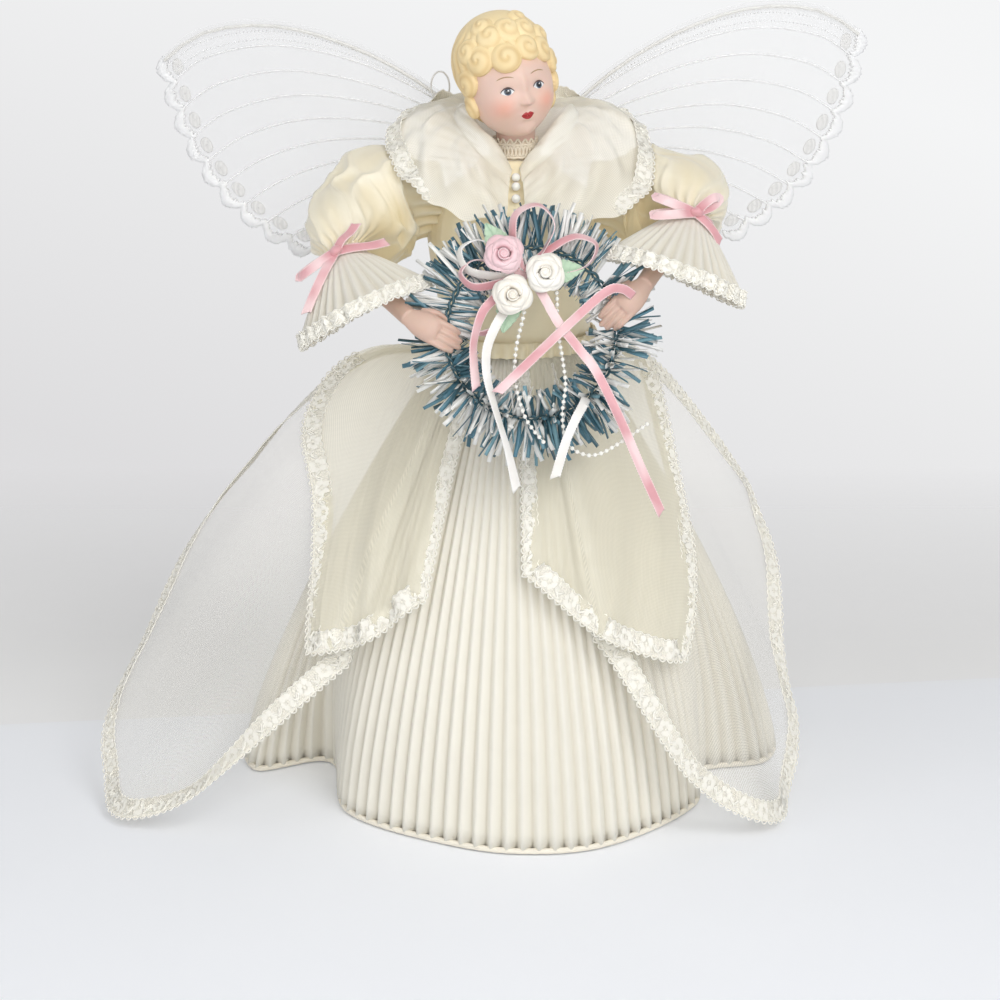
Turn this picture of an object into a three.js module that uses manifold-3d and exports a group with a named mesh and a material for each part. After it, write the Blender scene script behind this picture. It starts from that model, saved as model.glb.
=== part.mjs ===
// Angel tree topper: a doll in a pleated gown on a hollow cone, with wire-edged wings and a wreath.
// Millimetres, +Z up. The origin is the middle of the cone's mouth, and the doll faces -Y.
import * as THREE from "three";
import { mergeVertices } from "three/addons/utils/BufferGeometryUtils.js";
import Module from "manifold-3d";

const wasm = await Module();
wasm.setup();

// Fits and stock
const CLEARANCE = 0.3; // gap between pieces that touch
const LAYER_GAP = 0.8; // air between two layers of the gown
const CLOTH = 0.7; // thickness of a cloth solid
const RIBBON_WIDTH = 3.4;
const RIBBON_THICKNESS = 0.5;
const WIRE_RADIUS = 0.7;

// Facets round a piece or along it
const FACETS = {
  cone: 28, dowel: 16, band: 24, bodice: 18, plate: 16, head: 12, button: 8, neckBand: 18, wire: 6, wireSteps: 16,
  forearm: 10, finger: 6, tie: 10, cord: 8, ribbonSteps: 10, core: 6, coreSteps: 10, rose: 11, loopSteps: 8,
};

// Cone that stands on the tree's tip
const CONE_FOOT_RADIUS = 58;
const CONE_TOP_RADIUS = 13;
const CONE_ABOVE_WAIST = 35;
const CONE_WALL = 1.6;
const DOWEL_RADIUS = 4;
const DOWEL_LENGTH = 36;
const DOWEL_IN_CONE = 12;

// Pleated skirt
const SKIRT_HEIGHT = 165; // floor to waist seam
const HEM_REACH = 105; // furthest reach of the hem from the axis
const PLEAT_COUNT = 64;
const HEM_PLEAT_DEPTH = 2.4;
const WAIST_PLEAT_DEPTH = 0.8;
const BINDING_RADIUS = 1;
const BINDING_STEPS = 48;
const BELL_CURVE = 1.3; // 1 is a straight cone, more rounds the skirt out

// Hem seen from above: degrees from the front towards the viewer's right, and share of HEM_REACH
const HEM_OUTLINE = [
  [0, 0.9], [18, 0.9], [52, 0.8], [74, 0.7], [84, 0.92], [100, 0.97], [135, 0.84], [180, 0.92],
  [225, 0.84], [255, 0.97], [265, 1], [281, 0.95], [278, 0.69], [314, 0.81], [345, 0.86],
];

// Overskirt panels: degrees from the front of the front edge, and of the side edge at the waist and at the hem.
// Then, along the hem, its height, its flare beyond the skirt and how late the flare starts.
const LONG_PANELS = {
  left: { from: -44, side: [-98, -98], hem: [58, 16, 3, 18, 66, 112], flare: [0, 34, 50, 52, 50, 43],
    bend: [5, 4, 2, 0.7, 0.3, 0.2], folds: 4 },
  right: { from: 20, side: [98, 98], hem: [72, 24, 4, 14, 58, 104], flare: [0, 3, 11, 6, 14, 28],
    bend: [3, 3, 2.5, 0.8, 0.25, 0.15], folds: 4 },
};
const SHORT_PANELS = {
  left: { from: -25, side: [-94, -48], hem: [84, 70, 64], flare: [0, 5, 7], bend: [1, 0.3, 0.3], folds: 3 },
  right: { from: 2, side: [94, 40], hem: [94, 74, 63], flare: [0, 2, 4], bend: [1, 0.6, 0.3], folds: 3 },
};
const PANEL_ROWS = 6;
const PANEL_ROW_BIAS = 1.8; // 1 spaces the rows evenly, more puts them closer together near the waist
const PANEL_NECK = 2.5; // straight gathered top, before a panel flares
const PANEL_FOLD_DEPTH = 2.6;
const PANEL_TOP_DROP = 2; // below the waist seam
const WAIST_BAND_HEIGHT = 5;
const WAIST_BAND_LAP = 1; // over the panels' gathered tops

// Bodice: height above the waist seam and radius, above the ring that tucks into the waist band
const BODICE_PROFILE = [[22, 27], [40, 28], [51, 24.5], [58, 16], [64, 11]];
const BODICE_WIDTH_SCALE = 1.14; // wider than it is deep
const PEARL_RADIUS = 1.6;
const PEARL_SHARES = [0.8, 0.71, 0.62]; // along the bodice, from the waist to the neck

// Head, neck and shoulder plate
const PLATE_RADIUS = 16;
const NECK_RADIUS = 7;
const NECK_TOP = 47; // above the underside of the shoulder plate, inside the head
const NECK_FOOT = 20; // where the neck runs straight
const NECK_FLARE = 2;
const PLATE_EDGE = 3;
const PLATE_SLOPE_TOP = 14;
const HEAD_LIFT = 60; // middle of the head above the underside of the plate
const HEAD_LEAN = 4; // towards the viewer's left
const HEAD_FORWARD = 5;
const SKULL = { width: 35, depth: 34, height: 35, back: 2, up: 3 };
const FACE = { width: 28.7, depth: 28, height: 32.8, back: -4, up: -4 };
const CHIN_RADIUS = 5;
const NOSE_RADIUS = 2.4;
const NOSE_DROP = 1; // below the middle of the face
const HEAD_TURN = 22; // degrees towards the viewer's right
const HEAD_TILT = 11; // degrees, crown towards the viewer's left
const CURL_RADIUS = 4.6;
const CURL_INSET = 1; // how far a curl's middle lies inside the skull's side
// Curls of the hairline: degrees from the middle of the face, height from the middle of the head
const CURLS = [[-80, -6], [-70, 3], [-44, 9], [-15, 12], [15, 13], [46, 9], [74, 3], [84, -6]];
const NECK_BAND_HEIGHT = 7;
const NECK_BAND_THICKNESS = 1.2;

// Collar: degrees from the front, then radius and height above the waist of the neck edge and the outer edge
const COLLAR = {
  left: [[6, 17, 60, 31, 47.5], [28, 18, 64, 40, 48], [55, 19, 70, 45, 58], [85, 21, 76, 46, 70],
    [115, 23, 80, 43, 78], [140, 22, 80, 35, 80], [165, 19, 78, 27, 79]],
  right: [[6, 17, 60, 32, 46], [28, 18, 64, 44, 46], [52, 19, 70, 55, 54], [80, 21, 76, 48, 71],
    [108, 23, 80, 41, 79], [137, 22, 80, 34, 80], [165, 19, 78, 27, 79]],
};
const COLLAR_ARCH = 3;

// Sleeves: radius along the arm, from the shoulder
const SLEEVE_RADII = [13, 19.5, 18.5, 15];
const SHOULDER_HEIGHT = 49; // above the waist
const SHOULDER_GAP = 1; // from the bodice's side to the sleeve's first ring
// Where each hand grips the wreath, where its fingers point, the wrist tie from the wrist, and the sleeve's
// middle line between the shoulder and the tie
const ARMS = {
  left: { side: -1, gripAngle: 183, fingerAngle: -28, tieOffset: [-23.7, 29, 15],
    sleeve: [[-47, -3, 48], [-56, -14, 42]] },
  right: { side: 1, gripAngle: 12, fingerAngle: 226, tieOffset: [17, 28, 17],
    sleeve: [[47, -3, 48.5], [58, -14, 49]] },
};
const SLEEVE_FOLDS = 7;
const SLEEVE_FOLD_DEPTH = 0.9;
const SLEEVE_RINGS = 7; // from the shoulder to the gathered wrist
const GATHER_RADIUS = 6.4;
const GATHER_LENGTH = 3; // straight neck of the sleeve under the wrist ribbon
const WRIST_TURN_FROM = 0.6; // share of the sleeve from which its rings turn square to the cuff

// Cuffs
const CUFF_LENGTH = 22; // in the middle between its front and its back
const CUFF_SLANT = 4; // longer in front and shorter behind by this much
const CUFF_HEM_RADIUS = 25;
const CUFF_PLEATS = 18;
const CUFF_PLEAT_DEPTH = 1.8;
const CUFF_DROOP = 0.8; // how far the cuff falls away from the forearm
const CUFF_CURVE = 0.9; // 1 is a straight cone, less rounds the cuff out
const TIE_WIDTH = 2.4;
const TIE_EASE = 1.7; // from the gathered wrist to the ribbon round it
const WRIST_KNOT_RADIUS = 2.3;
const WRIST_KNOT_LIFT = 1; // middle of the knot above the ribbon round the wrist
// Loop of a wrist bow: sideways, out from the knot's middle and down the cuff
const WRIST_LOOP = [[0, 0, -0.3], [5, 1.5, -3], [11, 1, -2], [12, 0.5, 1], [6, 0.5, 2.6], [0, 0, 0.5]];
const WRIST_ENDS = [13, -17]; // lengths, the sign gives the side
const WRIST_END_SPREAD = 0.35; // sideways for each millimetre down
const WRIST_END_LIFT = 1.6; // above the cuff

// Forearms and hands
const HAND_LENGTH = 20;
const PALM_LENGTH = 13.2;
const PALM_MIDDLE = 5.4; // from the wrist
const PALM_LIFT = 0.4; // above the fingers' middle line
const PALM_WIDTH = 9.6;
const PALM_THICKNESS = 5.4;
const FINGER_RADIUS = 1.15;
const FINGER_GROOVE = 0.15;
const FINGER_COUNT = 4;
const FINGER_ROOT = 6; // from the wrist
const FINGER_TAPER = 0.7;
const FINGER_STAGGER = 0.7; // shorter for each millimetre off the hand's middle
const GRIP_AT = 14; // from the wrist to where the hand crosses the wreath
const WRIST_RADIUS = 3.2;
const FOREARM_RADIUS = 3.9;
const WIRE_IN_FOREARM = 9;
const WIRE_LEAD = 8; // straight run of the wire before the tie

// Wreath
const WREATH_RADIUS = 29;
const WREATH_MIDDLE = [5, -62, 13]; // from the waist
const WREATH_LEAN = 15; // degrees, top towards the doll
const GARLAND_RADIUS = 1.6;
const STRAND_LENGTH = 12;
const STRAND_WIDTH = 1.5;
const STRAND_ROWS = 9;
const STRANDS_IN_ROW = 36;
const GARLAND_ARCS = 4;
const ROSE_RADIUS = 6.6;
const ROSE_DEPTH = 7;
const ROSE_BACK = 7.8; // in front of the wreath's plane
// Rose section: shares of its radius and depth, from the petals' underside to the wound heart
const ROSE_SECTION = [[0.3, 0], [0.62, 0], [0.95, 0.35], [1, 0.7], [0.86, 0.95], [0.7, 0.82], [0.62, 0.55],
  [0.46, 0.62], [0.42, 1], [0.22, 0.94], [0, 0.8]];
const ROSES = { pink_rose: [-9.3, 26], ivory_rose_upper: [4.6, 19.6], ivory_rose_lower: [-6.4, 12.2] };
const LEAF_LENGTH = 15;
const LEAF_WIDTH = 8.5;
const LEAF_BELLY = 0.4; // share of the length at which the leaf is widest
const LEAVES = { leaf_top: [-7.5, 24, 122], leaf_right: [3, 19.5, 8], leaf_low: [-6, 14.5, 256] }; // x, y, degrees
const BOW_MIDDLE = [-3.5, 19.5];
const BOW_LOOPS = [[3, 43, 12], [21, 29, 9], [-23, 27, 10], [-19, 1, 8]]; // tip x, tip y, width
const BOW_KNOT_RADIUS = 2.6;
const BOW_TIE_ANGLE = 100; // degrees round the wreath from the viewer's right
const SHORT_TAIL_ANGLE = -50;
const TIE_ROOM = 4; // bare core round a tied ribbon
const STRAND_PEARL_RADIUS = 0.75;
// The spray covers the upper left of the wreath, where the strips lie flatter: degrees
const SPRAY_FROM = 35;
const SPRAY_TO = 200;
const SPRAY_TILT = 7;
const FREE_TILT = 36;
const INNER_STRAND = 0.85; // length of a strip that points inwards, against one that points out
const STRAND_VARIATION = 0.08;

// Wings
const WING_HINGE_HALF = 9; // from the middle to each wing's bend
const WING_HINGE_BACK = 33;
const WING_ROOT_HEIGHT = 60; // above the waist
const WING_SWEEP = 12; // degrees back from square
const WING_REACH = 126;
const WING_RISE = 50;
const WING_DROP = 37;
const SCALLOP_COUNT = 9;
const SCALLOP_BULGE = 4;
const WING_THICKNESS = 0.6;
const WING_WIRE_INSET = 2.2;
const WING_LIFT = { left: -1, right: 3.5 }; // degrees, tip up
const WING_ROOT_DROP = 8; // lowest point of the root below the hinge's middle
const WIRE_ROOT_DROP = 6;
// Front edge from the root to the tip: shares of WING_REACH and WING_RISE
const WING_FRONT = [[0, 0.12], [0.175, 0.52], [0.41, 0.84], [0.67, 1], [0.89, 0.93], [1, 0.74]];
// Lowest point, and the pull of the outer and the lower edge: shares of WING_REACH and WING_DROP
const WING_LOW = [0.56, -1];
const OUTER_PULL = [0.93, -0.55];
const LOWER_PULL = [0.28, -0.45];
const TAPE_WIDTH = 26;
const TAPE_HEIGHT = 30;
const TAPE_CORNER = 3;

const vector = (x, y, z) => new THREE.Vector3(x, y, z);
const radians = THREE.MathUtils.degToRad;
const { lerp, smoothstep } = THREE.MathUtils;

// Value of a smooth curve through evenly spaced numbers, at a share of its length
function along(numbers, share) {
  const curve = new THREE.SplineCurve(numbers.map((number, i) => new THREE.Vector2(i, number)));
  return curve.getPoint(THREE.MathUtils.clamp(share, 0, 1)).y;
}

// Point at an angle from the front, positive towards the viewer's right
function around(degrees, radius, height) {
  return vector(radius * Math.sin(radians(degrees)), -radius * Math.cos(radians(degrees)), height);
}

function toSolid(geometry) {
  const bare = geometry.clone();
  bare.deleteAttribute("normal");
  bare.deleteAttribute("uv");
  const merged = mergeVertices(bare, 1e-4);
  return new wasm.Manifold(new wasm.Mesh({
    numProp: 3,
    vertProperties: new Float32Array(merged.attributes.position.array),
    triVerts: new Uint32Array(merged.index.array),
  }));
}

function toGeometry(solid) {
  const mesh = solid.getMesh();
  const geometry = new THREE.BufferGeometry();
  geometry.setAttribute("position", new THREE.BufferAttribute(new Float32Array(mesh.vertProperties), 3));
  geometry.setIndex(new THREE.BufferAttribute(new Uint32Array(mesh.triVerts), 1));
  geometry.computeVertexNormals();
  return geometry;
}

function joined(...geometries) {
  return toGeometry(geometries.map(toSolid).reduce((sum, solid) => sum.add(solid)));
}

function cut(geometry, ...tools) {
  return toGeometry(tools.map(toSolid).reduce((rest, tool) => rest.subtract(tool), toSolid(geometry)));
}

// Body of revolution about Z from radius and height pairs
function revolved(profile, segments) {
  const points = profile.map(([radius, height]) => new THREE.Vector2(radius, height));
  return toGeometry(toSolid(new THREE.LatheGeometry(points, segments).rotateX(Math.PI / 2)));
}

// Closed body through rings of points. "loop" joins the last ring to the first, "strip" closes the ends
// of a flat section across its thickness, and "fan" closes round ends.
function ringBody(rings, ends) {
  const count = rings[0].length;
  const points = rings.flat();
  const faces = [];
  const bands = ends === "loop" ? rings.length : rings.length - 1;
  for (let i = 0; i < bands; i++) {
    const here = i * count;
    const next = ((i + 1) % rings.length) * count;
    for (let k = 0; k < count; k++) {
      const after = (k + 1) % count;
      // the back of a cloth is split along the same diagonals as its front
      const mirrored = ends === "strip" ? k >= count / 2 : ends === "loop" && i >= rings.length / 2;
      if (mirrored) faces.push([here + k, here + after, next + k], [here + after, next + after, next + k]);
      else faces.push([here + k, here + after, next + after], [here + k, next + after, next + k]);
    }
  }
  const last = (rings.length - 1) * count;
  if (ends === "strip") {
    for (let k = 0; k < count / 2 - 1; k++) {
      const [a, b, c, d] = [k, k + 1, count - 2 - k, count - 1 - k];
      faces.push([a, c, b], [a, d, c]);
      faces.push([last + a, last + b, last + c], [last + a, last + c, last + d]);
    }
  }
  if (ends === "fan") {
    for (let k = 1; k < count - 1; k++) {
      faces.push([0, k + 1, k], [last, last + k, last + k + 1]);
    }
  }
  const volume = faces.reduce((sum, [a, b, c]) =>
    sum + points[a].dot(vector(0, 0, 0).crossVectors(points[b], points[c])), 0);
  const geometry = new THREE.BufferGeometry().setFromPoints(points);
  geometry.setIndex(faces.flatMap(([a, b, c]) => (volume > 0 ? [a, b, c] : [a, c, b])));
  geometry.computeVertexNormals();
  return geometry;
}

function gridNormals(grid, closed) {
  const columns = grid[0].length;
  return grid.map((row, j) => row.map((_, i) => {
    const left = closed ? (i + columns - 1) % columns : Math.max(i - 1, 0);
    const right = closed ? (i + 1) % columns : Math.min(i + 1, columns - 1);
    const across = row[right].clone().sub(row[left]);
    const down = grid[Math.min(j + 1, grid.length - 1)][i].clone().sub(grid[Math.max(j - 1, 0)][i]);
    return across.cross(down).normalize();
  }));
}

function sampleGrid(surface, columns, rows, closed) {
  const across = closed ? columns : columns + 1;
  return Array.from({ length: rows + 1 }, (_, j) =>
    Array.from({ length: across }, (_, i) => surface(i / columns, j / rows)));
}

// Cloth with four free edges: the surface is its outer face
function sheet(surface, columns, rows, thickness, inward = 1) {
  const grid = sampleGrid(surface, columns, rows, false);
  const normals = gridNormals(grid, false);
  const rings = grid.map((row, j) => {
    const back = row.map((point, i) => point.clone().addScaledVector(normals[j][i], inward * thickness));
    return [...row, ...back.reverse()];
  });
  return ringBody(rings, "strip");
}

// Cloth that closes on itself round an opening at each end
function sleeveShell(surface, columns, rows, thickness, inward = 1) {
  const grid = sampleGrid(surface, columns, rows, true);
  const normals = gridNormals(grid, true);
  const inner = grid.map((row, j) =>
    row.map((point, i) => point.clone().addScaledVector(normals[j][i], inward * thickness)));
  return ringBody([...grid, ...inner.reverse()], "loop");
}

function wireAlong(points, radius, steps, sides) {
  const corners = Array.from({ length: sides }, (_, i) =>
    new THREE.Vector2(radius * Math.cos((2 * Math.PI * i) / sides), radius * Math.sin((2 * Math.PI * i) / sides)));
  const path = new THREE.CatmullRomCurve3(points);
  return new THREE.ExtrudeGeometry(new THREE.Shape(corners), { steps, extrudePath: path, bevelEnabled: false });
}

// Flat ribbon along points, its width square to the route and to the direction that it faces
function ribbonAlong(points, facing, steps, width = RIBBON_WIDTH) {
  const path = new THREE.CatmullRomCurve3(points);
  const rings = [];
  for (let i = 0; i <= steps; i++) {
    const middle = path.getPointAt(i / steps);
    const side = path.getTangentAt(i / steps).cross(facing).normalize().multiplyScalar(width / 2);
    const out = side.clone().cross(path.getTangentAt(i / steps)).normalize().multiplyScalar(RIBBON_THICKNESS / 2);
    rings.push([
      middle.clone().add(side).add(out), middle.clone().sub(side).add(out),
      middle.clone().sub(side).sub(out), middle.clone().add(side).sub(out),
    ]);
  }
  return ringBody(rings, "strip");
}

function rodBetween(start, end, startRadius, endRadius, sides) {
  const rod = new THREE.CylinderGeometry(endRadius, startRadius, start.distanceTo(end), sides);
  const turn = new THREE.Quaternion().setFromUnitVectors(vector(0, 1, 0), end.clone().sub(start).normalize());
  rod.applyQuaternion(turn);
  return rod.translate(...start.clone().add(end).multiplyScalar(0.5));
}

const material = (color, roughness, metalness = 0) =>
  new THREE.MeshStandardMaterial({ color, roughness, metalness });
const bisque = material("#f0cdbb", 0.45);
const satin = material("#f3e6cf", 0.4);
const pleatedCloth = material("#efe6d6", 0.6);
const organza = material("#f6f0e2", 0.5);
const lace = material("#e6d6bb", 0.7);
const pinkRibbon = material("#e58aa6", 0.35);
const ivoryRibbon = material("#f7f2e6", 0.35);
const pearl = material("#f5efe4", 0.2);
const tealNeedles = material("#3f7078", 0.4);
const mintLeaf = material("#a9cfb8", 0.6);
const card = material("#b79f7d", 0.9);
const wood = material("#c9a671", 0.7);
const whiteWire = material("#e9e6df", 0.4, 0.6);

const topper = new THREE.Group();
const torso = new THREE.Group();
torso.position.z = SKIRT_HEIGHT;
topper.add(torso);

function place(parent, name, geometry, finish) {
  const mesh = new THREE.Mesh(geometry, finish);
  mesh.name = name;
  parent.add(mesh);
  return mesh;
}

// Cone and dowel
const coneTop = SKIRT_HEIGHT + CONE_ABOVE_WAIST;
const coneRadiusAt = (z) => lerp(CONE_FOOT_RADIUS, CONE_TOP_RADIUS, z / coneTop);

function coneForm() {
  const bore = DOWEL_RADIUS + CLEARANCE;
  const profile = [
    [CONE_FOOT_RADIUS - CONE_WALL, 0], [CONE_FOOT_RADIUS, 0], [CONE_TOP_RADIUS, coneTop], [bore, coneTop],
    [bore, coneTop - CONE_WALL], [CONE_TOP_RADIUS - CONE_WALL, coneTop - CONE_WALL],
    [CONE_FOOT_RADIUS - CONE_WALL, 0],
  ];
  return revolved(profile, FACETS.cone);
}
place(topper, "cone_form", coneForm(), card);

const dowel = new THREE.CylinderGeometry(DOWEL_RADIUS, DOWEL_RADIUS, DOWEL_LENGTH, FACETS.dowel);
dowel.rotateX(Math.PI / 2).translate(0, 0, coneTop - DOWEL_IN_CONE + DOWEL_LENGTH / 2);
place(topper, "neck_dowel", dowel, wood);

// Skirt: the hem's outline shrinks and rounds off towards the waist
const waistRadius = coneRadiusAt(SKIRT_HEIGHT) + CLEARANCE + CLOTH + WAIST_PLEAT_DEPTH;
const fall = (z) => 1 - Math.pow(THREE.MathUtils.clamp(z / SKIRT_HEIGHT, 0, 1), BELL_CURVE);
const bellRadius = (z) => lerp(waistRadius, HEM_REACH, fall(z));
const hemCurve = new THREE.CatmullRomCurve3(
  HEM_OUTLINE.map(([degrees, share]) => around(degrees, share * HEM_REACH, 0)), true, "centripetal");
hemCurve.arcLengthDivisions = 800;

function skirtPoint(share, z) {
  const spread = fall(z);
  const ring = around(360 * share, bellRadius(z), z);
  const lobed = hemCurve.getPointAt(share);
  lobed.multiplyScalar(bellRadius(z) / HEM_REACH).setZ(z);
  return ring.lerp(lobed, spread * spread);
}

function skirtNormal(share, z) {
  const step = 0.5 / PLEAT_COUNT;
  const run = skirtPoint((share + step) % 1, z).sub(skirtPoint((share + 1 - step) % 1, z));
  return run.cross(vector(0, 0, 1)).normalize();
}

const skirtFoot = 2 * BINDING_RADIUS + CLEARANCE;

function pleatedSkirt() {
  const points = 2 * PLEAT_COUNT;
  const surface = (u, v) => {
    const z = lerp(skirtFoot, SKIRT_HEIGHT, v);
    const depth = lerp(WAIST_PLEAT_DEPTH, HEM_PLEAT_DEPTH, fall(z));
    const groove = Math.round(u * points) % 2;
    return skirtPoint(u, z).addScaledVector(skirtNormal(u, z), -groove * depth);
  };
  return sleeveShell(surface, points, 3, CLOTH, -1);
}
place(topper, "pleated_skirt", pleatedSkirt(), pleatedCloth);

function hemBinding() {
  const rings = Array.from({ length: BINDING_STEPS }, (_, i) => {
    const share = i / BINDING_STEPS;
    const middle = skirtPoint(share, 0).addScaledVector(skirtNormal(share, 0), -HEM_PLEAT_DEPTH / 2);
    const out = skirtNormal(share, 0).multiplyScalar(BINDING_RADIUS);
    return [
      middle.clone().add(out).setZ(0), middle.clone().add(out).setZ(2 * BINDING_RADIUS),
      middle.clone().sub(out).setZ(2 * BINDING_RADIUS), middle.clone().sub(out).setZ(0),
    ];
  });
  return ringBody(rings, "loop");
}
place(topper, "hem_binding", hemBinding(), satin);

// Overskirt: long panels lie on the skirt, short ones on the long ones
const panelTop = SKIRT_HEIGHT - PANEL_TOP_DROP;

const layerStep = LAYER_GAP + CLOTH;
const shortNeck = panelTop - PANEL_NECK;
const longNeck = shortNeck - layerStep;

// Share of a panel's fall from its gathered neck to its hem
const panelDown = (z, neck, hem) => THREE.MathUtils.clamp((neck - z) / (neck - hem), 0, 1);
const crest = () => 1;
const wave = (share, folds) => 0.5 - 0.5 * Math.cos(2 * Math.PI * folds * share);

// How far a panel stands off what it lies on, on its folds or on their crests
function panelStandOff({ flare, bend, folds, hem }, neck, share, z, fold = wave) {
  const down = panelDown(z, neck, along(hem, share));
  const spread = Math.max(along(flare, share), 0) * Math.pow(down, along(bend, share));
  return spread + PANEL_FOLD_DEPTH * down * fold(share, folds);
}

function longPanelRadius(panel, degrees, z, fold) {
  const base = bellRadius(z) + layerStep;
  const share = (degrees - panel.from) / (panel.side[0] - panel.from);
  return share < 0 ? base : base + panelStandOff(panel, longNeck, Math.min(share, 1), z, fold);
}

function overskirtPanel({ from, side, hem, folds }, neck, radiusAt) {
  const surface = (u, v) => {
    const row = v * PANEL_ROWS;
    const foot = along(hem, u);
    const share = Math.pow(Math.max(row - 1, 0) / (PANEL_ROWS - 1), PANEL_ROW_BIAS);
    const z = row < 1 ? lerp(panelTop, neck, row) : lerp(neck, foot, share);
    const degrees = lerp(from, lerp(side[0], side[1], panelDown(z, neck, foot)), u);
    return around(degrees, radiusAt(degrees, z, u), z);
  };
  return sheet(surface, 4 * folds, PANEL_ROWS, CLOTH, Math.sign(side[0] - from));
}

for (const side of ["left", "right"]) {
  const [long, short] = [LONG_PANELS[side], SHORT_PANELS[side]];
  const longRadius = (degrees, z) => longPanelRadius(long, degrees, z);
  const shortRadius = (degrees, z, u) =>
    longPanelRadius(long, degrees, z - layerStep, crest) + layerStep + panelStandOff(short, shortNeck, u, z);
  place(topper, `long_${side}_panel`, overskirtPanel(long, longNeck, longRadius), organza);
  place(topper, `short_${side}_panel`, overskirtPanel(short, shortNeck, shortRadius), organza);
}

const waistBandFoot = panelTop - WAIST_BAND_LAP;
const waistBandRadius = bellRadius(waistBandFoot - layerStep) + 2 * layerStep + CLEARANCE;

function waistBand() {
  const [inner, outer] = [waistBandRadius, waistBandRadius + CLOTH];
  const [low, high] = [waistBandFoot, waistBandFoot + WAIST_BAND_HEIGHT];
  const profile = [[inner, low], [outer, low], [outer, high], [inner, high], [inner, low]];
  return revolved(profile, FACETS.band);
}
place(topper, "waist_band", waistBand(), satin);

// Bodice, heights from the waist seam
const tuckRadius = waistBandRadius * Math.cos(Math.PI / FACETS.band) - CLEARANCE;
const tuckTop = waistBandFoot + WAIST_BAND_HEIGHT + CLEARANCE - SKIRT_HEIGHT;
const bodiceProfile = [[0, tuckRadius], ...BODICE_PROFILE];
const bodiceCurve = new THREE.SplineCurve(bodiceProfile.map(([z, r]) => new THREE.Vector2(r, z)));
const bodiceTop = bodiceProfile.at(-1)[0];
const bodiceHalfWidth = BODICE_WIDTH_SCALE * Math.max(...BODICE_PROFILE.map(([, radius]) => radius));

function bodiceShell() {
  const surface = (u, v) => {
    const { x: radius, y: height } = bodiceCurve.getPoint(v);
    const point = around(360 * u, radius, Math.max(height, CLEARANCE));
    return point.setX(point.x * lerp(1, BODICE_WIDTH_SCALE, smoothstep(height, tuckTop, bodiceTop / 2)));
  };
  return sleeveShell(surface, FACETS.bodice, 6, CLOTH, -1);
}

function pearlButton(share) {
  const seat = bodiceCurve.getPoint(share);
  const run = bodiceCurve.getTangent(share);
  const lift = PEARL_RADIUS + CLEARANCE;
  const button = new THREE.SphereGeometry(PEARL_RADIUS, FACETS.button, 6);
  return button.translate(0, -(seat.x + lift * run.y), seat.y - lift * run.x);
}
PEARL_SHARES.forEach((share, i) => place(torso, `pearl_button_${i + 1}`, pearlButton(share), pearl));

// Head, neck and shoulder plate
const plateFoot = CONE_ABOVE_WAIST + CLEARANCE;

// Point at a depth under the skull's side
function inSkull(degrees, rise, depth) {
  const level = (2 * (rise - SKULL.up)) / SKULL.height;
  const ring = Math.sqrt(1 - level * level);
  const spot = around(degrees, 1, rise);
  spot.x *= (SKULL.width / 2) * ring - depth;
  spot.y *= (SKULL.depth / 2) * ring - depth;
  return spot.setY(spot.y + SKULL.back);
}

function bisqueHead() {
  const plateProfile = [[0, 0], [PLATE_RADIUS, 0], [PLATE_RADIUS, PLATE_EDGE],
    [NECK_RADIUS + NECK_FLARE, PLATE_SLOPE_TOP], [NECK_RADIUS, NECK_FOOT], [NECK_RADIUS, NECK_TOP], [0, NECK_TOP]];
  const plate = revolved(plateProfile, FACETS.plate);
  const ball = ({ width, depth, height, back, up }) =>
    new THREE.SphereGeometry(0.5, FACETS.head, 7).scale(width, depth, height).translate(0, back, up);
  const faceFront = FACE.back - FACE.depth / 2;
  const faceFoot = FACE.up - FACE.height / 2;
  const forms = [
    ball(SKULL),
    ball(FACE),
    new THREE.IcosahedronGeometry(CHIN_RADIUS, 1).translate(0, faceFront + CHIN_RADIUS, faceFoot + CHIN_RADIUS),
    new THREE.OctahedronGeometry(NOSE_RADIUS, 1).translate(0, faceFront, FACE.up - NOSE_DROP),
  ];
  for (const [degrees, rise] of CURLS) {
    const curl = new THREE.IcosahedronGeometry(CURL_RADIUS, 1);
    forms.push(curl.translate(...inSkull(degrees, rise, CURL_INSET)));
  }
  const turned = new THREE.Matrix4().makeRotationFromEuler(
    new THREE.Euler(0, radians(-HEAD_TILT), radians(HEAD_TURN), "YZX"));
  const head = joined(...forms).applyMatrix4(turned).translate(-HEAD_LEAN, -HEAD_FORWARD, HEAD_LIFT);
  const boreRadius = DOWEL_RADIUS + CLEARANCE;
  const boreLength = 2 * (DOWEL_LENGTH - DOWEL_IN_CONE);
  const bore = new THREE.CylinderGeometry(boreRadius, boreRadius, boreLength, FACETS.dowel);
  return cut(joined(plate, head), bore.rotateX(Math.PI / 2)).translate(0, 0, plateFoot);
}
place(torso, "bisque_head", bisqueHead(), bisque);

function neckBand() {
  const inner = NECK_RADIUS + CLEARANCE;
  const outer = inner + NECK_BAND_THICKNESS;
  const low = bodiceTop + CLEARANCE;
  const profile = [[inner, low], [outer, low], [outer, low + NECK_BAND_HEIGHT], [inner, low + NECK_BAND_HEIGHT],
    [inner, low]];
  return revolved(profile, FACETS.neckBand);
}
place(torso, "neck_lace_band", neckBand(), lace);

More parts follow.
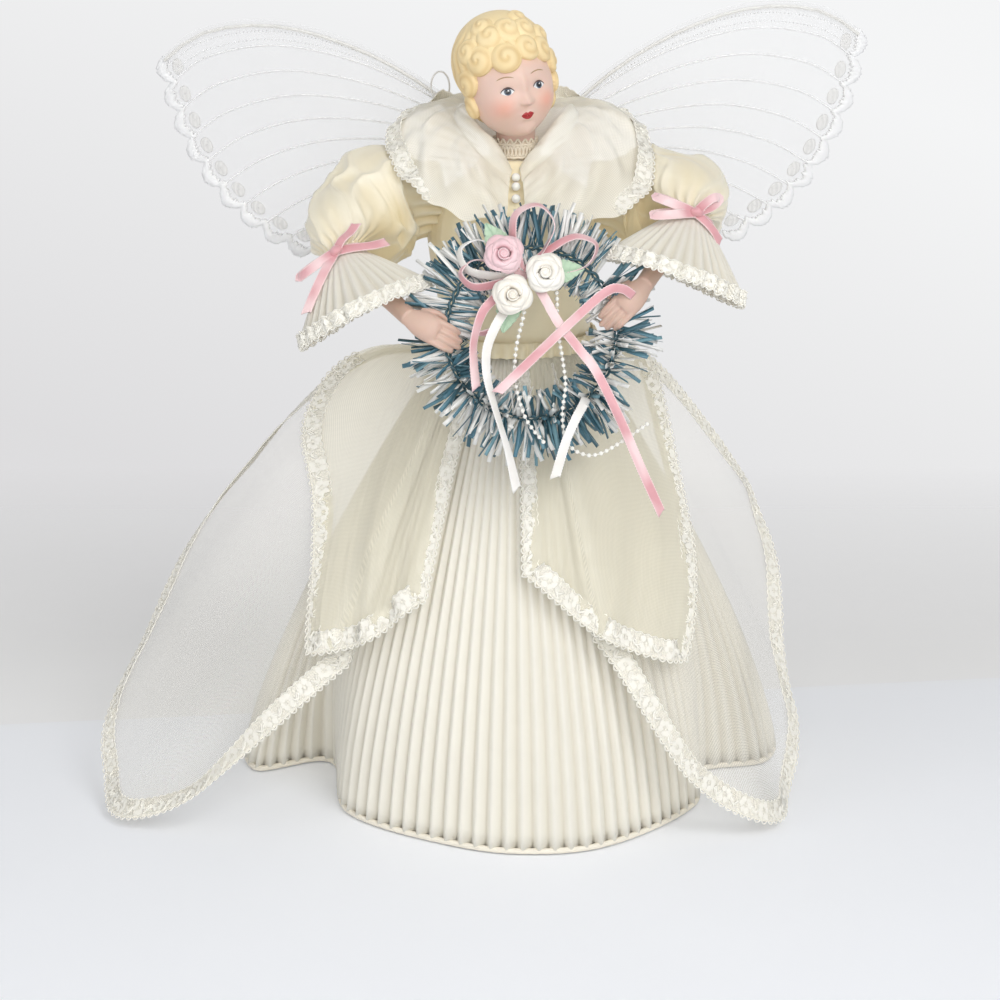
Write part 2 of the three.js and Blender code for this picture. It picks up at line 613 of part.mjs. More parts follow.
// Collar halves
function collarHalf(name, side) {
  const column = (index) => COLLAR[name].map((row) => row[index]);
  const [degrees, neckRadius, neckHeight, edgeRadius, edgeHeight] = [0, 1, 2, 3, 4].map(column);
  const surface = (u, v) => {
    const arch = COLLAR_ARCH * Math.sin(Math.PI * v);
    const radius = lerp(along(neckRadius, u), along(edgeRadius, u), v);
    const height = lerp(along(neckHeight, u), along(edgeHeight, u), v) + arch;
    return around(side * along(degrees, u), radius, height);
  };
  return sheet(surface, 12, 3, CLOTH, side);
}
place(torso, "left_collar", collarHalf("left", -1), organza);
place(torso, "right_collar", collarHalf("right", 1), organza);

// Wreath frame: x to the viewer's right, y up the wreath, z towards the viewer
const wreathMatrix = new THREE.Matrix4().makeRotationX(Math.PI / 2 - radians(WREATH_LEAN));
wreathMatrix.setPosition(...WREATH_MIDDLE);
const onWreath = (x, y, z) => vector(x, y, z).applyMatrix4(wreathMatrix);
const wreath = new THREE.Group();
wreath.applyMatrix4(wreathMatrix);
torso.add(wreath);

const fingerLevel = GARLAND_RADIUS + CLEARANCE + FINGER_RADIUS;

// Arms: the hand lies over the wreath, and the forearm runs back from the wrist to the tied sleeve
function armLayout({ side, gripAngle, fingerAngle, tieOffset, sleeve }) {
  const fingers = vector(Math.cos(radians(fingerAngle)), Math.sin(radians(fingerAngle)), 0);
  const grip = vector(Math.cos(radians(gripAngle)), Math.sin(radians(gripAngle)), 0).multiplyScalar(WREATH_RADIUS);
  const wrist = grip.clone().addScaledVector(fingers, -GRIP_AT).setZ(fingerLevel);
  const wristInTorso = wrist.clone().applyMatrix4(wreathMatrix);
  const tie = wristInTorso.clone().add(vector(...tieOffset));
  const forearm = wristInTorso.clone().sub(tie).normalize();
  const cuffAxis = forearm.clone().add(vector(0, 0, -CUFF_DROOP)).normalize();
  const shoulder = vector(side * (bodiceHalfWidth + SHOULDER_GAP), 0, SHOULDER_HEIGHT);
  const gather = tie.clone().addScaledVector(cuffAxis, -GATHER_LENGTH);
  const stump = tie.clone().addScaledVector(cuffAxis, -GATHER_LENGTH / 2);
  const line = new THREE.CatmullRomCurve3([shoulder, ...sleeve.map((point) => vector(...point)), gather]);
  return { side, fingers, wrist, wristInTorso, tie, stump, forearm, cuffAxis, line };
}
const arms = { left: armLayout(ARMS.left), right: armLayout(ARMS.right) };

const wireBore = WIRE_RADIUS + 2 * CLEARANCE;
const stumpRadius = (GATHER_RADIUS - CLOTH) * Math.cos(Math.PI / (2 * SLEEVE_FOLDS)) - CLEARANCE;
const wireInForearm = ({ tie, forearm }) =>
  [-WIRE_LEAD, WIRE_IN_FOREARM].map((distance) => tie.clone().addScaledVector(forearm, distance));

// Two directions square to an axis
function crossAxes(axis) {
  const first = vector(0, 0, 1).cross(axis).normalize();
  return [first, axis.clone().cross(first).normalize()];
}

function sleeve({ line, tie, cuffAxis }) {
  const end = tie.clone().addScaledVector(cuffAxis, -CLEARANCE / 2);
  const surface = (u, v) => {
    const share = Math.min((v * (SLEEVE_RINGS + 1)) / SLEEVE_RINGS, 1);
    const middle = v === 1 ? end : line.getPointAt(share);
    const axis = line.getTangentAt(share).lerp(cuffAxis, smoothstep(share, WRIST_TURN_FROM, 1)).normalize();
    const [first, second] = crossAxes(axis);
    const fold = SLEEVE_FOLD_DEPTH * Math.sin(Math.PI * share) * Math.cos(2 * Math.PI * SLEEVE_FOLDS * u);
    const radius = along([...SLEEVE_RADII, GATHER_RADIUS], share) + fold;
    return middle.clone().addScaledVector(first, radius * Math.cos(2 * Math.PI * u))
      .addScaledVector(second, radius * Math.sin(2 * Math.PI * u));
  };
  return sleeveShell(surface, 2 * SLEEVE_FOLDS, SLEEVE_RINGS + 1, CLOTH, -1);
}

const cuffRadiusAt = (distance) =>
  lerp(GATHER_RADIUS, CUFF_HEM_RADIUS, Math.pow(Math.max(distance, 0) / CUFF_LENGTH, CUFF_CURVE));

function cuff({ tie, cuffAxis }) {
  const [first, second] = crossAxes(cuffAxis);
  const front = Math.atan2(-second.y, -first.y);
  const surface = (u, v) => {
    const length = CUFF_LENGTH + CUFF_SLANT * Math.cos(2 * Math.PI * u - front);
    const distance = lerp(CLEARANCE / 2, length, v);
    const groove = Math.round(u * 2 * CUFF_PLEATS) % 2;
    const radius = cuffRadiusAt(distance) - groove * CUFF_PLEAT_DEPTH * v;
    return tie.clone().addScaledVector(cuffAxis, distance)
      .addScaledVector(first, radius * Math.cos(2 * Math.PI * u))
      .addScaledVector(second, radius * Math.sin(2 * Math.PI * u));
  };
  return sleeveShell(surface, 2 * CUFF_PLEATS, 2, CLOTH, -1);
}

// Ribbon tied round the gathered wrist: a band, two loops and two ends that lie on the cuff
function wristBow({ tie, cuffAxis }) {
  const front = vector(0, -1, 0).addScaledVector(cuffAxis, cuffAxis.y).normalize();
  const aside = cuffAxis.clone().cross(front);
  const at = (sideways, outwards, down) => tie.clone().addScaledVector(aside, sideways)
    .addScaledVector(front, outwards).addScaledVector(cuffAxis, down);
  const inner = GATHER_RADIUS + TIE_EASE;
  const outer = inner + RIBBON_THICKNESS;
  const ring = (radius, down) => Array.from({ length: FACETS.tie }, (_, i) => {
    const angle = (2 * Math.PI * i) / FACETS.tie;
    return at(radius * Math.cos(angle), radius * Math.sin(angle), down);
  });
  const half = TIE_WIDTH / 2;
  const band = ringBody([ring(outer, -half), ring(outer, half), ring(inner, half), ring(inner, -half)], "loop");
  const seat = outer + WRIST_KNOT_LIFT;
  const knot = new THREE.SphereGeometry(WRIST_KNOT_RADIUS, 6, 4).translate(...at(0, seat, 0));
  const loop = (way) => ribbonAlong(
    WRIST_LOOP.map(([sideways, outwards, down]) => at(way * sideways, seat + outwards, down)), front, 7);
  const end = (length) => ribbonAlong([0, 0.4, 0.7, 1].map((share) => {
    const down = Math.abs(length) * share;
    const outwards = Math.max(cuffRadiusAt(down) + WRIST_END_LIFT, seat);
    return at(share * length * WRIST_END_SPREAD, outwards, down);
  }), front, 4);
  return joined(band, knot, loop(1), loop(-1), ...WRIST_ENDS.map(end));
}

// Hand over the wreath, and a forearm whose round stump the gathered cloth is tied on
function forearmWithHand({ fingers, wrist, tie, stump, wristInTorso, forearm }) {
  const across = vector(-fingers.y, fingers.x, 0);
  const spot = (x, y, z) => wrist.clone().addScaledVector(fingers, x).addScaledVector(across, y)
    .add(vector(0, 0, z));
  const palm = new THREE.SphereGeometry(0.5, 10, 6).scale(PALM_LENGTH, PALM_WIDTH, PALM_THICKNESS);
  palm.rotateZ(Math.atan2(fingers.y, fingers.x)).translate(...spot(PALM_MIDDLE, 0, PALM_LIFT));
  const forms = [palm];
  for (let i = 0; i < FINGER_COUNT; i++) {
    const offset = (i - (FINGER_COUNT - 1) / 2) * (2 * FINGER_RADIUS + FINGER_GROOVE);
    const reach = HAND_LENGTH - Math.abs(offset) * FINGER_STAGGER;
    forms.push(rodBetween(spot(FINGER_ROOT, offset, 0), spot(reach, offset, 0),
      FINGER_RADIUS, FINGER_RADIUS * FINGER_TAPER, FACETS.finger));
  }
  const hand = joined(...forms).applyMatrix4(wreathMatrix);
  const arm = rodBetween(stump, wristInTorso, FOREARM_RADIUS, WRIST_RADIUS, FACETS.forearm);
  const joint = new THREE.IcosahedronGeometry(WRIST_RADIUS, 1).translate(...wristInTorso);
  const knob = new THREE.IcosahedronGeometry(stumpRadius, 1).translate(...stump);
  const [wireStart, wireEnd] = wireInForearm({ tie, forearm });
  const bore = rodBetween(wireStart, wireEnd.addScaledVector(forearm, 2 * CLEARANCE), wireBore, wireBore, 8);
  return cut(joined(hand, arm, joint, knob), bore);
}

// Wire from the cone's side, through the bodice and the sleeve, into the forearm's bore
function armWirePoints({ side, line, tie, forearm }) {
  const shoulder = line.getPointAt(0);
  const inside = vector(side * (coneRadiusAt(SKIRT_HEIGHT + shoulder.z) + CLEARANCE + WIRE_RADIUS), 0, shoulder.z);
  const [wireStart, wireEnd] = wireInForearm({ tie, forearm });
  return [inside, shoulder, line.getPointAt(0.35), line.getPointAt(0.65), wireStart, tie.clone(), wireEnd];
}

let bodice = bodiceShell();
for (const [name, arm] of Object.entries(arms)) {
  const points = armWirePoints(arm);
  place(torso, `${name}_sleeve`, sleeve(arm), satin);
  place(torso, `${name}_cuff`, cuff(arm), satin);
  place(torso, `${name}_wrist_bow`, wristBow(arm), pinkRibbon);
  place(torso, `${name}_forearm`, forearmWithHand(arm), bisque);
  place(torso, `${name}_arm_wire`, wireAlong(points, WIRE_RADIUS, FACETS.wireSteps, FACETS.wire), whiteWire);
  bodice = cut(bodice, rodBetween(points[0], points[1], wireBore, wireBore, FACETS.wire));
}
place(torso, "bodice", bodice, satin);

const ringSpot = (degrees, level = 0) =>
  vector(WREATH_RADIUS * Math.cos(radians(degrees)), WREATH_RADIUS * Math.sin(radians(degrees)), level);

// Garland: flat strips stand out all round the core and give way where the hands, cuffs and bow lie
function strandBlockers() {
  const grow = CLEARANCE + STRAND_WIDTH / 2;
  const back = wreathMatrix.clone().invert();
  return Object.values(arms).flatMap(({ fingers, wrist, tie, cuffAxis, wristInTorso }) => {
    const tip = wrist.clone().addScaledVector(fingers, HAND_LENGTH);
    const hem = tie.clone().addScaledVector(cuffAxis, CUFF_LENGTH + grow);
    return [
      rodBetween(wrist, tip, PALM_WIDTH / 2 + grow, PALM_WIDTH / 2 + grow, 12),
      rodBetween(tie, hem, GATHER_RADIUS + grow, CUFF_HEM_RADIUS + grow, 20).applyMatrix4(back),
      rodBetween(tie, wristInTorso, FOREARM_RADIUS + grow, FOREARM_RADIUS + grow, 10).applyMatrix4(back),
    ];
  }).concat(
    rodBetween(ringSpot(BOW_TIE_ANGLE, -TIE_ROOM), ringSpot(BOW_TIE_ANGLE, TIE_ROOM), TIE_ROOM, TIE_ROOM, 8),
    rodBetween(ringSpot(SHORT_TAIL_ANGLE), ringSpot(SHORT_TAIL_ANGLE, STRAND_LENGTH), TIE_ROOM, TIE_ROOM, 8),
  ).map(toSolid).reduce((sum, solid) => sum.add(solid));
}

function strand(ringAngle, tubeAngle, length) {
  const out = vector(Math.cos(ringAngle), Math.sin(ringAngle), 0);
  const root = out.clone().multiplyScalar(WREATH_RADIUS);
  const way = out.clone().multiplyScalar(Math.cos(tubeAngle)).setZ(Math.sin(tubeAngle));
  const [first, second] = [vector(-out.y, out.x, 0), way.clone().cross(vector(-out.y, out.x, 0))];
  const ring = (distance, width) => [0, 1, 2].map((corner) => root.clone().addScaledVector(way, distance)
    .addScaledVector(first, width * Math.cos((2 * Math.PI * corner) / 3))
    .addScaledVector(second, 0.5 * width * Math.sin((2 * Math.PI * corner) / 3)));
  const foot = ring(GARLAND_RADIUS * 0.5, STRAND_WIDTH / 2);
  const tip = root.clone().addScaledVector(way, length);
  const spike = new THREE.BufferGeometry().setFromPoints([...foot, tip]);
  spike.setIndex([0, 2, 1, 0, 1, 3, 1, 2, 3, 2, 0, 3]);
  return spike;
}

function garlandArc(index, blockers) {
  const span = (2 * Math.PI) / GARLAND_ARCS;
  const gap = CLEARANCE / WREATH_RADIUS;
  const start = index * span;
  const rings = Array.from({ length: FACETS.coreSteps + 1 }, (_, i) => {
    const angle = lerp(start + gap / 2, start + span - gap / 2, i / FACETS.coreSteps);
    return Array.from({ length: FACETS.core }, (_, k) => {
      const turn = (2 * Math.PI * k) / FACETS.core;
      const radius = WREATH_RADIUS + GARLAND_RADIUS * Math.cos(turn);
      return vector(radius * Math.cos(angle), radius * Math.sin(angle), GARLAND_RADIUS * Math.sin(turn));
    });
  });
  let solid = toSolid(ringBody(rings, "fan"));
  const perArc = STRANDS_IN_ROW / GARLAND_ARCS;
  for (let row = 0; row < STRAND_ROWS; row++) {
    for (let i = 0; i < perArc; i++) {
      const angle = start + (span * (i + 0.5 + 0.3 * Math.sin(2.4 * row))) / perArc;
      const inSpray = angle > radians(SPRAY_FROM) && angle < radians(SPRAY_TO);
      const share = (row + 0.5) / STRAND_ROWS;
      const outer = row % 2 === 0;
      const tilt = radians(lerp(-FREE_TILT, inSpray ? SPRAY_TILT : FREE_TILT, share));
      const variation = 1 - STRAND_VARIATION * (1 - Math.sin(5.1 * i + 1.7 * row));
      const length = STRAND_LENGTH * (outer ? 1 : INNER_STRAND) * variation;
      const piece = toSolid(strand(angle, outer ? tilt : Math.PI - tilt, length));
      if (piece.intersect(blockers).isEmpty()) solid = solid.add(piece);
    }
  }
  return toGeometry(solid);
}
const blockers = strandBlockers();
for (let i = 0; i < GARLAND_ARCS; i++) place(wreath, `garland_arc_${i + 1}`, garlandArc(i, blockers), tealNeedles);

// Ribbon roses: a cup of overlapping petals round a wound heart, on a stitched base. Ribbon ends lie
// between the petals and the leaves.
const leafFront = ROSE_BACK - RIBBON_THICKNESS - 2 * CLEARANCE;
const ribbonOf = (name) => (name.startsWith("pink") ? pinkRibbon : ivoryRibbon);

function ribbonRose(x, y) {
  const base = (leafFront + CLEARANCE - ROSE_BACK) / ROSE_DEPTH;
  const baseRadius = ROSE_SECTION[0][0];
  const section = [[0, base], [baseRadius, base], ...ROSE_SECTION];
  const profile = section.map(([r, z]) => [r * ROSE_RADIUS, z * ROSE_DEPTH]);
  return revolved(profile, FACETS.rose).translate(x, y, ROSE_BACK);
}
for (const [name, [x, y]] of Object.entries(ROSES)) place(wreath, name, ribbonRose(x, y), ribbonOf(name));

function fabricLeaf(x, y, degrees) {
  const outline = new THREE.Shape();
  outline.moveTo(0, 0);
  outline.quadraticCurveTo(LEAF_LENGTH * LEAF_BELLY, LEAF_WIDTH, LEAF_LENGTH, 0);
  outline.quadraticCurveTo(LEAF_LENGTH * LEAF_BELLY, -LEAF_WIDTH, 0, 0);
  const leaf = new THREE.ExtrudeGeometry(outline, { depth: CLOTH, bevelEnabled: false, curveSegments: 6 });
  return leaf.rotateZ(radians(degrees)).translate(x, y, leafFront - CLOTH);
}
for (const [name, spot] of Object.entries(LEAVES)) place(wreath, name, fabricLeaf(...spot), mintLeaf);

// Bow of the wreath: loops on edge behind the leaves, tied round the core
const loopLevel = leafFront - CLOTH - CLEARANCE - RIBBON_WIDTH / 2;

function bowLoop([x, y, width]) {
  const middle = vector(...BOW_MIDDLE, loopLevel);
  const reach = vector(x, y, loopLevel).sub(middle);
  const side = vector(-reach.y, reach.x, 0).normalize().multiplyScalar(width / 2);
  const at = (share, offset) => middle.clone().addScaledVector(reach, share).addScaledVector(side, offset);
  const path = new THREE.CatmullRomCurve3(
    [at(0, 0.12), at(0.45, 0.8), at(0.8, 0.95), at(1, 0), at(0.8, -0.95), at(0.45, -0.8), at(0, -0.12)]);
  const rise = vector(0, 0, RIBBON_WIDTH / 2);
  const rings = Array.from({ length: FACETS.loopSteps + 1 }, (_, i) => {
    const spot = path.getPointAt(i / FACETS.loopSteps);
    const out = path.getTangentAt(i / FACETS.loopSteps).cross(rise);
    out.normalize().multiplyScalar(RIBBON_THICKNESS / 2);
    return [spot.clone().add(out).add(rise), spot.clone().sub(out).add(rise),
      spot.clone().sub(out).sub(rise), spot.clone().add(out).sub(rise)];
  });
  return ringBody(rings, "strip");
}

function wreathBow() {
  const tie = ringSpot(BOW_TIE_ANGLE);
  const run = vector(-tie.y, tie.x, 0).normalize().multiplyScalar(RIBBON_WIDTH / 2);
  const inner = GARLAND_RADIUS + CLEARANCE;
  const outer = inner + 2 * RIBBON_THICKNESS;
  const [low, high] = [tie.clone().sub(run), tie.clone().add(run)];
  const band = cut(rodBetween(low, high, outer, outer, 12),
    rodBetween(low.clone().sub(run), high.clone().add(run), inner, inner, 12));
  const knot = new THREE.CylinderGeometry(BOW_KNOT_RADIUS, BOW_KNOT_RADIUS, RIBBON_WIDTH, 10).rotateX(Math.PI / 2);
  knot.translate(...BOW_MIDDLE, loopLevel);
  const riserFoot = tie.clone().setZ(outer - RIBBON_THICKNESS);
  const riser = rodBetween(riserFoot, tie.clone().setZ(loopLevel), RIBBON_WIDTH / 2, RIBBON_WIDTH / 2, 8);
  const link = ribbonAlong([tie.clone().setZ(loopLevel), vector(...BOW_MIDDLE, loopLevel)], vector(0, 0, 1), 1);
  return joined(band, riser, link, knot, ...BOW_LOOPS.map(bowLoop));
}
place(wreath, "wreath_bow", wreathBow(), pinkRibbon);

// Free ribbon ends and pearl strands: routes in the wreath's frame, from under the roses or from the core
const endLevel = ROSE_BACK - CLEARANCE - RIBBON_THICKNESS / 2;
const handLevel = fingerLevel + PALM_LIFT + PALM_THICKNESS / 2 + CLEARANCE + RIBBON_THICKNESS / 2;
const coreLevel = GARLAND_RADIUS + CLEARANCE + RIBBON_THICKNESS / 2;
const RIBBON_ROUTES = {
  pink_tail_long: [[2, 15.5, endLevel], [4.5, 11, 9.6], [9, 3, 10.4], [16, -6, 10.6], [22, -14, 10.6],
    [30, -30, 10.2], [37, -46, 8], [44, -61, 4]],
  pink_tail_cross: [[34.3, 12.2, handLevel], [30, 14.5, 9], [24, 12.6, 11], [10, 0, 12.2], [0, -9.5, 12.2],
    [-11.5, -20.5, 12]],
  ivory_tail_long: [[-8.5, 7.6, endLevel], [-12, 2, 9.6], [-15, -6, 10.6], [-15, -15, 10.6], [-12.5, -25, 10.4],
    [-8, -40, 8], [-5, -53, 4]],
  ivory_tail_short: [[...ringSpot(SHORT_TAIL_ANGLE, coreLevel)], [17.2, -25, 6], [14.5, -30, 9.2],
    [11.5, -37, 9.2], [8, -49, 7.4]],
  pink_tail_side: [[-11.6, 12, endLevel], [-16.5, 6.5, 8.4], [-19.4, -3, 8.6], [-19.4, -11, 8.6],
    [-18.6, -19, 8.4]],
};
for (const [name, points] of Object.entries(RIBBON_ROUTES)) {
  const route = points.map((point) => vector(...point));
  place(wreath, name, ribbonAlong(route, vector(0, 0, 1), FACETS.ribbonSteps), ribbonOf(name));
}

const beadLevel = ROSE_BACK - CLEARANCE - STRAND_PEARL_RADIUS;
const PEARL_ROUTES = {
  pearl_strand_left: [[-2.2, 8.6, beadLevel], [-3, 4, 7.8], [-5.2, -6, 8.4], [-5.4, -17, 8.6], [-2, -29, 8.8],
    [4, -37, 8.6]],
  pearl_strand_right: [[8.4, 15.2, beadLevel], [8.6, 10, 7.6], [8.6, 2, 8.4], [10.4, -9, 8.4], [11.4, -18, 8.4],
    [10.4, -28, 7.4], [12, -37, 7.2], [17, -41, 7.6], [23, -41, 7.8], [31, -36.5, 7.6], [39, -31, 6.4]],
};
for (const [name, points] of Object.entries(PEARL_ROUTES)) {
  const route = points.map((point) => vector(...point));
  place(wreath, name, wireAlong(route, STRAND_PEARL_RADIUS, 2 * points.length - 1, FACETS.cord), pearl);
}

// Wings: a sewn tape on the back carries the two wire roots
const tapeBack = WING_HINGE_BACK - WIRE_RADIUS - CLEARANCE;

function wingTape() {
  const front = Math.max(...BODICE_PROFILE.map(([, radius]) => radius)) + CLEARANCE;
  const tape = new THREE.Shape();
  const [halfWidth, halfHeight, corner] = [TAPE_WIDTH / 2, TAPE_HEIGHT / 2, TAPE_CORNER];
  tape.moveTo(-halfWidth + corner, -halfHeight);
  tape.absarc(halfWidth - corner, -halfHeight + corner, corner, -Math.PI / 2, 0);
  tape.absarc(halfWidth - corner, halfHeight - corner, corner, 0, Math.PI / 2);
  tape.absarc(-halfWidth + corner, halfHeight - corner, corner, Math.PI / 2, Math.PI);
  tape.absarc(-halfWidth + corner, -halfHeight + corner, corner, Math.PI, 1.5 * Math.PI);
  const depth = tapeBack - front;
  const plate = new THREE.ExtrudeGeometry(tape, { depth, bevelEnabled: false, curveSegments: 4 });
  return plate.rotateX(Math.PI / 2).translate(0, tapeBack, WING_ROOT_HEIGHT - TAPE_HEIGHT / 2);
}
place(torso, "wing_tape", wingTape(), satin);

// Wing outline: a rising front edge, scallops from the tip down, and a hollow lower edge
const frontEdge = WING_FRONT.map(([out, up]) => [out * WING_REACH, up * WING_RISE]);

function wingOutline(side) {
  const below = ([out, down]) => new THREE.Vector2(out * WING_REACH, down * WING_DROP);
  const sweep = new THREE.QuadraticBezierCurve(
    new THREE.Vector2(...frontEdge.at(-1)), below(OUTER_PULL), below(WING_LOW));
  const outline = new THREE.Shape();
  outline.moveTo(side * frontEdge[0][0], frontEdge[0][1]);
  outline.splineThru(frontEdge.slice(1).map(([x, y]) => new THREE.Vector2(side * x, y)));
  for (let i = 1; i <= SCALLOP_COUNT; i++) {
    const end = sweep.getPointAt(i / SCALLOP_COUNT);
    const middle = sweep.getPointAt((i - 0.5) / SCALLOP_COUNT);
    const tangent = sweep.getTangentAt((i - 0.5) / SCALLOP_COUNT);
    middle.add(new THREE.Vector2(-tangent.y, tangent.x).multiplyScalar(2 * SCALLOP_BULGE));
    outline.quadraticCurveTo(side * middle.x, middle.y, side * end.x, end.y);
  }
  const hollow = below(LOWER_PULL);
  outline.quadraticCurveTo(side * hollow.x, hollow.y, 0, -WING_ROOT_DROP);
  return outline;
}

function wing(side, name) {
  const bend = new THREE.Group();
  bend.position.set(side * WING_HINGE_HALF, WING_HINGE_BACK, WING_ROOT_HEIGHT);
  bend.rotation.set(0, -side * radians(WING_LIFT[name]), side * radians(WING_SWEEP), "ZYX");
  torso.add(bend);
  const cloth = new THREE.ExtrudeGeometry(wingOutline(side),
    { depth: WING_THICKNESS, bevelEnabled: false, curveSegments: 4 });
  const behind = WIRE_RADIUS + CLEARANCE;
  place(bend, `${name}_wing`, cloth.rotateX(Math.PI / 2).translate(0, behind + WING_THICKNESS, 0), organza);
  const root = vector(0, 0, -WIRE_ROOT_DROP);
  const route = frontEdge.map(([x, y]) => vector(side * x, 0, y - WING_WIRE_INSET));
  const wire = wireAlong([root, ...route], WIRE_RADIUS, FACETS.wireSteps, FACETS.wire);
  place(bend, `${name}_wing_wire`, wire, whiteWire);
}
wing(-1, "left");
wing(1, "right");

export default topper;
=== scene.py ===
"""Dressed looks of an angel tree topper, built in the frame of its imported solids.

Lengths are written in millimetres and become metres where a mesh is made. The doll faces -Y, and +Z is up.
"""

import math

import bmesh
import bpy
import numpy as np
from mathutils import Matrix, Vector


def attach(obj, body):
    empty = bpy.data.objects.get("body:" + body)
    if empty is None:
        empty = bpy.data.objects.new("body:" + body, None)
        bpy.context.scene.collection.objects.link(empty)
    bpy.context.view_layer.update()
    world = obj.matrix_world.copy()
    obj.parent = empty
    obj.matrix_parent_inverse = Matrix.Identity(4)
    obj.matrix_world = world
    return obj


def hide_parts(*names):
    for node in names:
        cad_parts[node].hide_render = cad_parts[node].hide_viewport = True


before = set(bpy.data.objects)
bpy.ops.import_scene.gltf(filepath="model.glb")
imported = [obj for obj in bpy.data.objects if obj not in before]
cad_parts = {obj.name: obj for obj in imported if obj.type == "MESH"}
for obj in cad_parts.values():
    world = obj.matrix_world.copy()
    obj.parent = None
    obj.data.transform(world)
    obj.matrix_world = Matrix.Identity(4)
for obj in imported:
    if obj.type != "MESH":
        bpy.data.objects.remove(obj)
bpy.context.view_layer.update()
scene = bpy.context.scene
scene.view_settings.view_transform = "Standard"

MM = 0.001
TAU = 2 * math.pi
POLE_GAP = 0.12

# Sizes shared with the solids
SKIRT_HEIGHT = 165.0
HEM_REACH = 105.0
WAIST_RADIUS = 22.7
BELL_CURVE = 1.3
LAYER_GAP = 0.8
CLOTH = 0.7
PANEL_TOP = 163.0
HEM_OUTLINE = [
    (0, 0.9), (18, 0.9), (52, 0.8), (74, 0.7), (84, 0.92), (100, 0.97), (135, 0.84), (180, 0.92),
    (225, 0.84), (255, 0.97), (265, 1), (281, 0.95), (278, 0.69), (314, 0.81), (345, 0.86),
]
LONG_PANELS = {
    "left": dict(start=-44, side=(-98, -98), hem=[58, 16, 3, 18, 66, 112], flare=[0, 34, 50, 52, 50, 43],
                 bend=[5, 4, 2, 0.7, 0.3, 0.2], folds=4),
    "right": dict(start=20, side=(98, 98), hem=[72, 24, 4, 14, 58, 104], flare=[0, 3, 11, 6, 14, 28],
                  bend=[3, 3, 2.5, 0.8, 0.25, 0.15], folds=4),
}
SHORT_PANELS = {
    "left": dict(start=-25, side=(-94, -48), hem=[84, 70, 64], flare=[0, 5, 7], bend=[1, 0.3, 0.3], folds=3),
    "right": dict(start=2, side=(94, 40), hem=[94, 74, 63], flare=[0, 2, 4], bend=[1, 0.6, 0.3], folds=3),
}
PANEL_FOLD_DEPTH = 2.6
RIBBON_WIDTH = 3.4


# Numbers and curves

def unit(a):
    return a / np.maximum(np.linalg.norm(a, axis=-1, keepdims=True), 1e-9)


def ramp(low, high, x):
    t = np.clip((x - low) / (high - low), 0, 1)
    return t * t * (3 - 2 * t)


def mix(a, b, t):
    return a + (b - a) * t


def stacked(*parts):
    """Points from their coordinates, each of them a number or a grid."""
    return np.stack(np.broadcast_arrays(*parts), -1)


def steps_round(whole, count):
    """Even steps once round, in the unit of whole."""
    return np.linspace(0, whole, count, endpoint=False)


def around(degrees, radius, z):
    """Points at angles from the front, positive towards the viewer's right."""
    angle = np.radians(degrees)
    return stacked(radius * np.sin(angle), -radius * np.cos(angle), z)


def along(values, share):
    """Smooth curve through evenly spaced values, at shares of its length."""
    values = np.asarray(values, float)
    last = len(values) - 1
    place = np.clip(np.asarray(share, float), 0, 1) * last
    i = np.minimum(place.astype(int), last - 1)
    t = place - i
    if values.ndim > 1:
        t = t[..., None]
    a, b, c, d = (values[np.clip(i + k, 0, last)] for k in (-1, 0, 1, 2))
    return b + 0.5 * t * (c - a + t * (2 * a - 5 * b + 4 * c - d + t * (3 * (b - c) + d - a)))


def even(points, count, closed=False):
    """Points at equal steps along a line of points."""
    points = np.asarray(points, float)
    if closed:
        points = np.vstack([points, points[:1]])
    reach = np.concatenate([[0], np.cumsum(np.linalg.norm(np.diff(points, axis=0), axis=1))])
    marks = np.linspace(0, reach[-1], count + 1 if closed else count)
    if closed:
        marks = marks[:-1]
    return np.stack([np.interp(marks, reach, points[:, k]) for k in range(points.shape[1])], 1)


def route(points, count):
    return even(along(points, np.linspace(0, 1, 40 * len(points))), count)


def length_of(points):
    return float(np.linalg.norm(np.diff(points, axis=0), axis=1).sum())


def tangents(path, closed=False):
    if closed:
        return unit(np.roll(path, -1, 0) - np.roll(path, 1, 0))
    return unit(np.gradient(path, axis=0))


def wiggle(x, seed, waves=5):
    """Smooth irregular wave of about unit height."""
    draw = np.random.default_rng(seed)
    total = 0
    for k in range(1, waves + 1):
        total = total + np.sin(k * draw.uniform(0.7, 1.3) * x + draw.uniform(0, TAU)) / k
    return total / 1.7


def carried(path, closed=False):
    """Two directions square to a path, carried along it without twist."""
    way = tangents(path, closed)
    side = np.zeros_like(path)
    first = np.cross(way[0], [0, 0, 1.0])
    if np.linalg.norm(first) < 0.1:
        first = np.cross(way[0], [1.0, 0, 0])
    side[0] = unit(first)
    for i in range(1, len(path)):
        flat = side[i - 1] - way[i] * np.dot(side[i - 1], way[i])
        side[i] = unit(flat)
    return side, np.cross(way, side)


def grid_normals(grid, wrap=False):
    if wrap:
        across = np.roll(grid, -1, 1) - np.roll(grid, 1, 1)
    else:
        across = np.gradient(grid, axis=1)
    return unit(np.cross(across, np.gradient(grid, axis=0)))


def grid_lengths(grid):
    """Cloth coordinates in metres of a grid of points: across and down."""
    across = np.linalg.norm(np.diff(grid, axis=1), axis=2).mean(0)
    down = np.linalg.norm(np.diff(grid, axis=0), axis=2).mean(1)
    u = np.concatenate([[0], np.cumsum(across)])
    v = np.concatenate([[0], np.cumsum(down)])
    return np.stack(np.meshgrid(u, v), -1) * MM


def linked(name, data):
    """New object in the scene, with that mesh, lamp or camera."""
    made = bpy.data.objects.new(name, data)
    scene.collection.objects.link(made)
    return made


